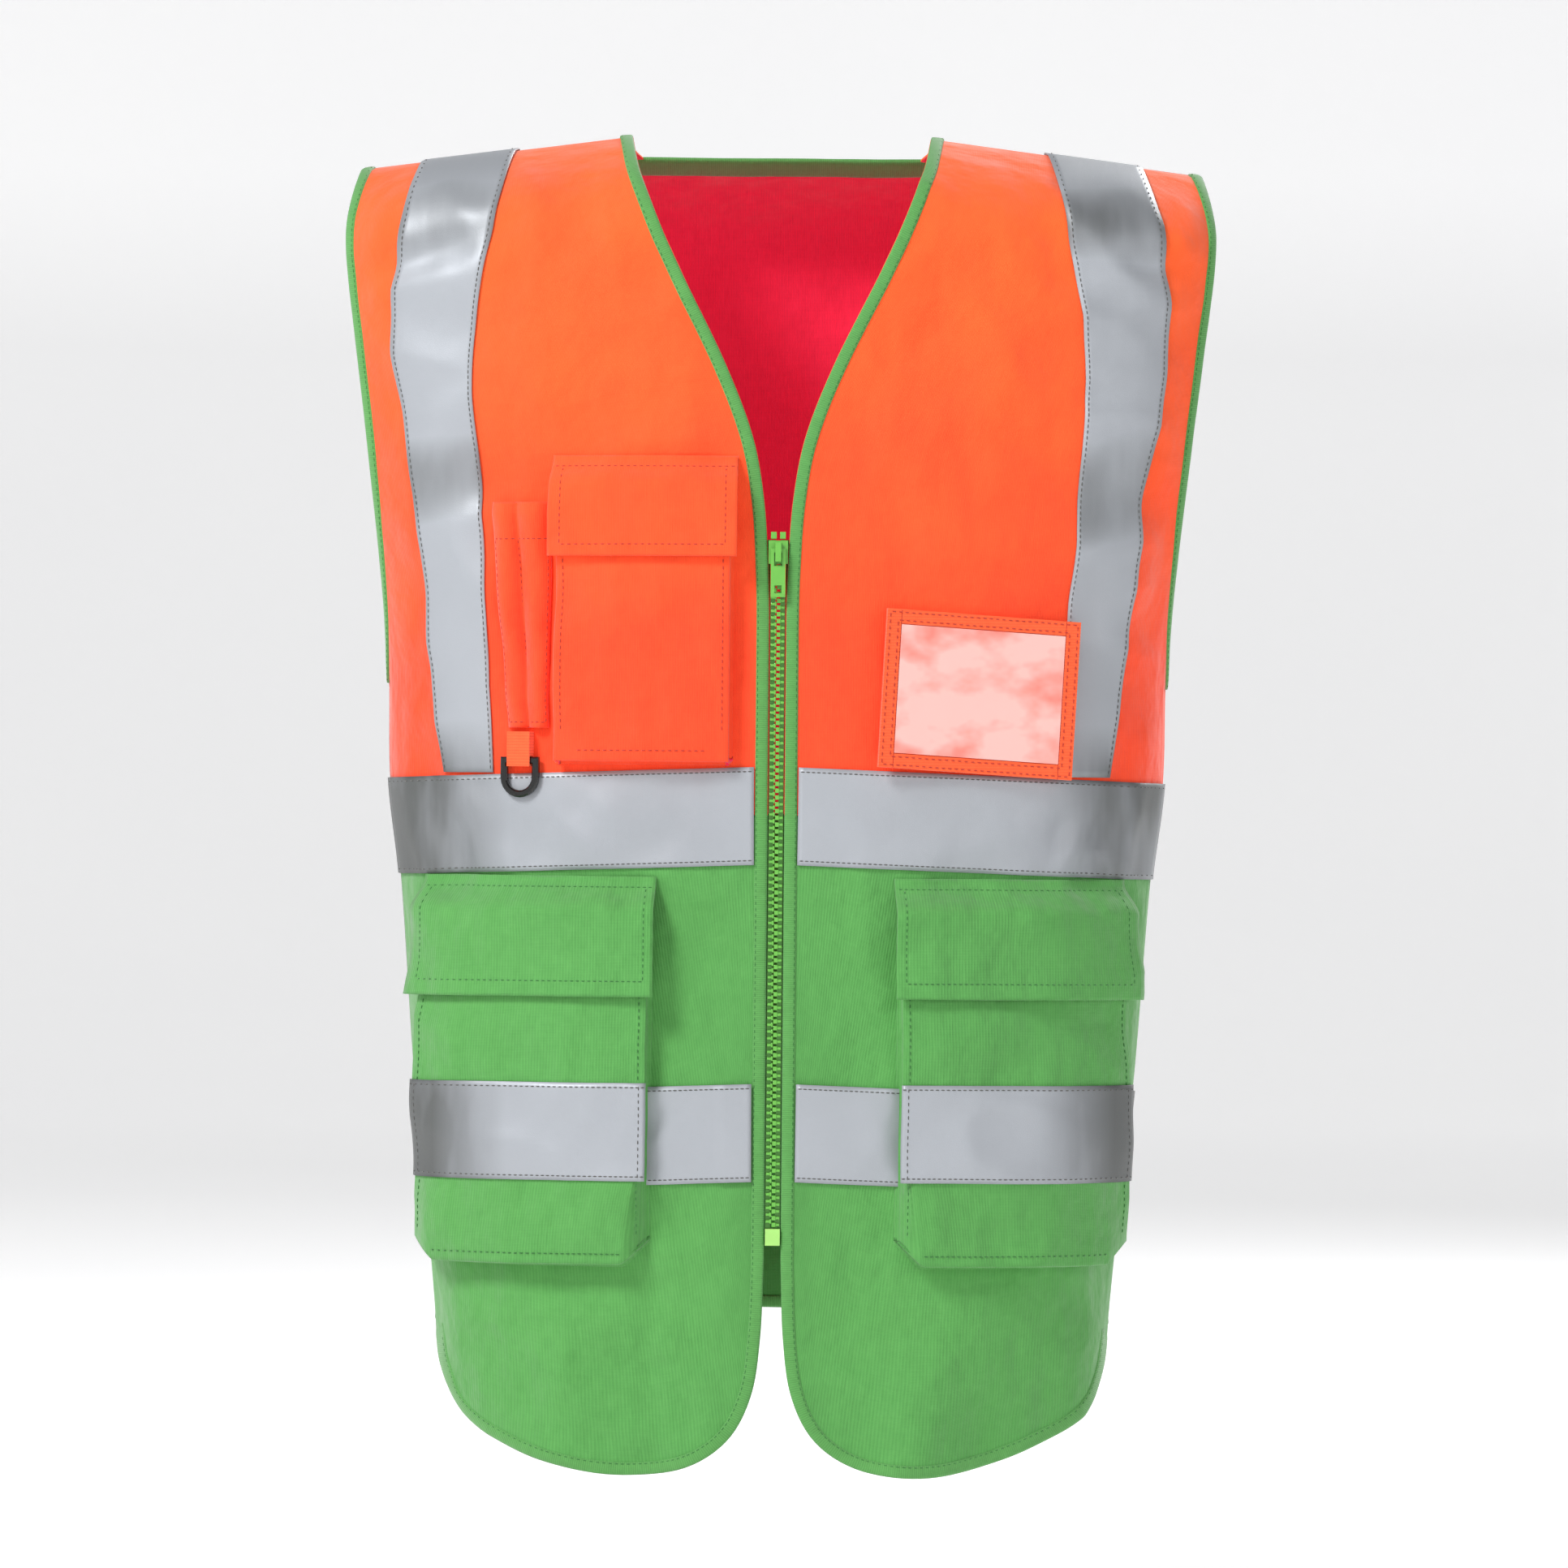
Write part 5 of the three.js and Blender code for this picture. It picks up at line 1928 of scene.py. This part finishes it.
@dataclass
class PenPocket:
    """Narrow double pen pocket with its webbing loop and the ring that hangs from it."""

    shop: Workshop
    side: Side = Side.RIGHT
    taper: float = 0.010
    divider_top: float = 0.42
    divider_foot: float = 0.50
    seam_offset: float = 0.0024
    tube_rise: float = 0.0056
    tube_taper: float = 0.35
    crumple: float = 0.0007
    hem: float = 0.019

    def __post_init__(self) -> None:
        """Read the sizes from the frame."""
        low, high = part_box("pen_pocket")
        self.left, self.right = low.x, high.x
        self.top, self.bottom = -high.z, -low.z

    def edges(self, down: float) -> tuple[float, float]:
        """Left and right edge at a share of the height."""
        return mix(self.left, self.left + self.taper, down), self.right

    def offset(self, share: float, down: float) -> float:
        """Offset of the face: two soft tubes with a seam between them.

        Args:
            share: Share of the width.
            down: Share of the height.

        Returns:
            The offset from the inner face of the front's cloth.
        """
        divider = mix(self.divider_top, self.divider_foot, down)
        channel = share / divider if share < divider else (share - divider) / (1 - divider)
        arch = abs(math.sin(math.pi * min(1.0, max(0.0, channel)))) ** 0.75
        rise = self.tube_rise * (1 - self.tube_taper * down)
        rough = self.crumple * noise.noise(Vector((share * 3, down * 7, 5.0)))
        return self.seam_offset + rise * arch + rough

    def place(self, across: float, down: float) -> Vector:
        """Where a share of the pocket's grid lies.

        Args:
            across: Share of the grid across.
            down: Share of the grid down.

        Returns:
            The point in the vest's frame.
        """
        left, right = self.edges(down)
        x = mix(left, right, across)
        depth = mix(self.top, self.bottom, down)
        return FORM.at(x / FORM.half_width(depth), depth, self.offset(across, down), Facing.FRONT)

    def build(self) -> None:
        """Make the pocket, its hem stitches, the loop and the ring."""
        looks = self.shop.wardrobe
        obj = self.shop.sheet(
            "pen_pocket_cloth", 36, 70, self.place, 0.0009, False, looks.orange, looks.crimson
        )
        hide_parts("pen_pocket")
        hem = self.hem / (self.bottom - self.top)
        top, foot = self.divider_top, self.divider_foot
        lines = [
            row_of(lambda s: self.place(within(0.03, s), hem)),
            row_of(lambda s: self.place(mix(top, foot, s), mix(hem, 0.98, s))),
            row_of(lambda s: self.place(0.05, mix(hem, 0.98, s))),
            row_of(lambda s: self.place(0.95, mix(hem, 0.98, s))),
            row_of(lambda s: self.place(within(0.05, s), 0.975)),
        ]
        seam = self.shop.stitches("pen_pocket_stitches", lines, looks.orange_thread)
        for piece in (obj, seam):
            ride_front(piece, self.side)
        self.shop.dress("ring_loop", looks.webbing)
        self.shop.dress("d_ring", looks.black)


# ------------------------------------------------------------------ card holder


@dataclass
class CardHolder:
    """Clear card window in orange webbing, kept from the frame, with double stitch rows."""

    shop: Workshop
    outward: tuple[float, float, float] = (0.218293, -0.975537, 0.025997)
    row_insets: tuple[float, float] = (0.0016, 0.0058)
    rim: tuple[str, ...] = ("left", "right", "top", "bottom")
    thread_lift: float = 0.00015
    flatness: float = 0.0001

    def build(self) -> None:
        """Finish the kept nodes and add the stitches."""
        looks = self.shop.wardrobe
        lines = []
        for edge in self.rim:
            self.shop.dress(f"card_edge_{edge}", looks.webbing)
        self.shop.dress("card_back_sheet", looks.webbing)
        self.shop.dress("card_window", looks.window)
        corners = self.corners()
        for inset in self.row_insets:
            for index in range(4):
                start, end = self.inset(corners, index, inset)
                lines.append(row_of(lambda s, a=start, b=end: a.lerp(b, s)))
        seam = self.shop.stitches("card_holder_stitches", lines, looks.orange_thread)
        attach(seam, "card_holder")

    def corners(self) -> list[Vector]:
        """Outer corners of the strips' front face, going round.

        Returns:
            The four corners, a thread above the face.
        """
        out = Vector(self.outward).normalized()
        points = []
        for edge in self.rim:
            points += [v.co.copy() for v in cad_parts[f"card_edge_{edge}"].data.vertices]
        front = max(p.dot(out) for p in points)
        faces = [p for p in points if front - p.dot(out) < self.flatness]
        middle = sum(faces, Vector()) / len(faces)
        up = (Vector((0, 0, 1)) - out * out.z).normalized()
        side = up.cross(out).normalized()
        found = []
        for a, b in ((-1, 1), (1, 1), (1, -1), (-1, -1)):
            toward = side * a + up * b
            found.append(max(faces, key=lambda p: (p - middle).dot(toward)))
        return [p + out * self.thread_lift for p in found]

    @staticmethod
    def inset(corners: Sequence[Vector], index: int, distance: float) -> tuple[Vector, Vector]:
        """One side of the rim moved inward.

        Args:
            corners: The four corners.
            index: The number of the side's first corner.
            distance: How far inward.

        Returns:
            The two ends of the side.
        """
        start, end = corners[index], corners[(index + 1) % 4]
        centre = sum(corners, Vector()) / 4
        ahead = (end - start).normalized()
        inward = centre - start
        inward = (inward - ahead * inward.dot(ahead)).normalized()
        return (
            start + inward * distance + ahead * distance,
            end + inward * distance - ahead * distance,
        )


# ------------------------------------------------------------------ zip


@dataclass
class Zip:
    """Moulded zip: meshing teeth, slider with its pull, and kept tapes, stops, pin and box."""

    shop: Workshop
    pitch: float = 0.0035
    left_tip: float = -0.0005
    right_tip: float = 0.0006
    bevel: float = 0.0003
    row_margin: float = 0.003
    spine_x: float = 0.0025
    spine_width: float = 0.0026
    spine_share: float = 0.35

    def tooth(self, mesh: bmesh.types.BMesh, side: Side, height: float) -> None:
        """Add one tooth with a narrow neck and a rounded head.

        Args:
            mesh: The bmesh that receives it.
            side: The row's side.
            height: Height of its middle.
        """
        low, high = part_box("zip_teeth_left")
        depth = high.y - low.y
        tip = self.left_tip if side is Side.LEFT else self.right_tip
        neck, head = (0.0007, 0.0036, 0.0014, 0.80), (tip, 0.0016, 0.0023, 0.96)
        for inner, outer, tall, deep in (neck, head):
            centre = Vector((side.value * (inner + outer) / 2, (low.y + high.y) / 2, height))
            matrix = Matrix.Translation(centre) @ Matrix.Diagonal((outer - inner, depth * deep, tall, 1.0))
            made = bmesh.ops.create_cube(mesh, size=1.0, matrix=matrix)
            edges = list({edge for vert in made["verts"] for edge in vert.link_edges})
            bmesh.ops.bevel(
                mesh, geom=edges, offset=self.bevel, segments=2, profile=0.5, affect="EDGES",
                material=-1,
            )

    def teeth(self) -> None:
        """Both rows of teeth, half a pitch apart."""
        for side in Side:
            low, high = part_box(f"zip_teeth_{side.word}")
            sample = bmesh.new()
            self.tooth(sample, side, 0.0)
            unit = bpy.data.meshes.new("tooth")
            sample.to_mesh(unit)
            sample.free()
            mesh = bmesh.new()
            count = int((high.z - low.z - self.row_margin) / self.pitch)
            for index in range(count):
                shift = 0.0 if side is Side.LEFT else self.pitch / 2
                start = len(mesh.verts)
                mesh.from_mesh(unit)
                mesh.verts.ensure_lookup_table()
                moved = mesh.verts[start:]
                height = low.z + self.row_margin / 2 + shift + index * self.pitch
                bmesh.ops.translate(mesh, verts=moved, vec=(0, 0, height))
            bpy.data.meshes.remove(unit)
            deep = (high.y - low.y) * self.spine_share
            middle = Vector((side.value * self.spine_x, high.y - deep / 2, (low.z + high.z) / 2))
            spine = Matrix.Translation(middle)
            spine = spine @ Matrix.Diagonal((self.spine_width, deep, high.z - low.z, 1.0))
            bmesh.ops.create_cube(mesh, size=1.0, matrix=spine)
            green = self.shop.wardrobe.zip_green
            obj = self.shop.finish(f"zip_teeth_{side.word}_moulded", mesh, green)
            for polygon in obj.data.polygons:
                polygon.use_smooth = False
            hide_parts(f"zip_teeth_{side.word}")
            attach(obj, side.body)

    def build(self) -> None:
        """Make the teeth and finish the kept nodes."""
        self.teeth()
        looks = self.shop.wardrobe
        for side in Side:
            self.shop.dress(f"zip_tape_{side.word}", looks.zip_tape)
            self.shop.dress(f"zip_top_stop_{side.word}", looks.zip_green)
        for node in ("zip_pin", "zip_slider", "zip_pull"):
            self.shop.dress(node, looks.zip_green)
        self.shop.dress("zip_box", looks.box_green)


# ------------------------------------------------------------------ stage


@dataclass
class Stage:
    """Pale floor, soft lights and the camera."""

    distance: float = 4.0
    frame_height: float = 0.833
    centre: tuple[float, float] = (0.004, -0.342)
    tilt: float = -0.5
    floor_level: float = -0.80
    floor_radius: float = 9.0
    floor_rise: float = 5.0
    lamps: tuple[tuple[str, tuple[float, float, float], float, float], ...] = (
        ("key", (-1.8, -1.9, 1.9), 0.9, 100),
        ("fill", (1.2, -3.0, 0.3), 1.6, 10),
        ("back", (1.4, 2.4, 1.3), 1.2, 60),
    )

    def floor(self) -> None:
        """A large pale floor that curves up far round the vest."""

        def place(around: float, out: float) -> Vector:
            """Where a share of the floor lies.

            Args:
                around: Share of the turn round the vest.
                out: Share of the way outward.

            Returns:
                The point in the scene.
            """
            angle = around * 2 * math.pi
            radius = self.floor_radius * min(1.0, out * 1.6)
            rise = self.floor_rise * smoothstep(0.45, 1.0, out)
            level = rise + self.floor_level
            return Vector((math.cos(angle) * radius, math.sin(angle) * radius, level))

        mesh = Workshop.grid(96, 40, place, True)
        bmesh.ops.remove_doubles(mesh, verts=mesh.verts, dist=1e-5)
        shader = Shader("pale_floor")
        soft = shader.grain(shader.coordinates(), 0.6, 2.0)
        tone = shader.blend(soft, colour(226, 226, 226), colour(220, 220, 221))
        pale = shader.finish(
            Base_Color=tone, Roughness=0.95, Emission_Color=tone, Emission_Strength=0.58
        )
        obj = Workshop.finish("floor", mesh, pale)

    @staticmethod
    def light(name: str, place: Sequence[float], size: float, power: float) -> None:
        """A soft square lamp that faces the vest.

        Args:
            name: The lamp's name.
            place: Where it hangs.
            size: Width of its square.
            power: Its power, in watts.
        """
        lamp = bpy.data.lights.new(name, "AREA")
        lamp.shape = "SQUARE"
        lamp.size = size
        lamp.energy = power
        obj = bpy.data.objects.new(name, lamp)
        obj.location = place
        aim = Vector((0, 0, -0.35)) - Vector(place)
        obj.rotation_euler = aim.to_track_quat("-Z", "Y").to_euler()
        bpy.context.scene.collection.objects.link(obj)

    def build(self) -> None:
        """Set up the world, floor, lights and camera."""
        scene = bpy.context.scene
        world = bpy.data.worlds.new("studio")
        world.use_nodes = True
        sky = world.node_tree.nodes["Background"].inputs
        sky["Color"].default_value = (1, 1, 1, 1)
        sky["Strength"].default_value = 0.16
        scene.world = world
        scene.view_settings.view_transform = "Standard"
        scene.view_settings.look = "None"
        self.floor()
        for name, place, size, power in self.lamps:
            self.light(name, place, size, power)
        camera = bpy.data.cameras.new("camera")
        camera.sensor_width = 36.0
        camera.lens = camera.sensor_width * self.distance / self.frame_height
        obj = bpy.data.objects.new("camera", camera)
        obj.location = (self.centre[0], -self.distance, self.centre[1])
        obj.rotation_euler = (math.pi / 2, math.radians(self.tilt), 0)
        scene.collection.objects.link(obj)
        scene.camera = obj


# ------------------------------------------------------------------ the whole vest


def main() -> None:
    logging.basicConfig(level=logging.INFO)
    wardrobe = Wardrobe()
    shop = Workshop(wardrobe)
    back = BackCloth(shop)
    back.chest()
    back.skirt()
    for side in Side:
        front = FrontCloth(shop, side)
        front.chest()
        front.skirt()
        name = f"lower_pocket_{side.word}"
        pouch = Pouch(
            shop, name, f"flap_{side.word}", side, corner=0.012, mouth_rise=0.0131,
            flap_margin=0.0047, flap_foot=0.008, slot="green_cloth", cloth=wardrobe.green,
            inner=wardrobe.green_inside, lean=0.010,
        )
        pouch.build()
        PocketTape(pouch, f"pocket_tape_{side.word}").build()
    chest = Pouch(
        shop, "chest_pocket", "chest_flap", Side.RIGHT, corner=0.0, mouth_rise=0.0111,
        flap_margin=0.006, flap_foot=0.006, slot="orange_cloth", cloth=wardrobe.orange,
        inner=wardrobe.crimson,
    )
    chest.build()
    PenPocket(shop).build()
    CardHolder(shop).build()
    Zip(shop).build()
    Tapes(shop).build()
    Bindings(shop).build()
    Stage().build()


if __name__ == "__main__":
    main()
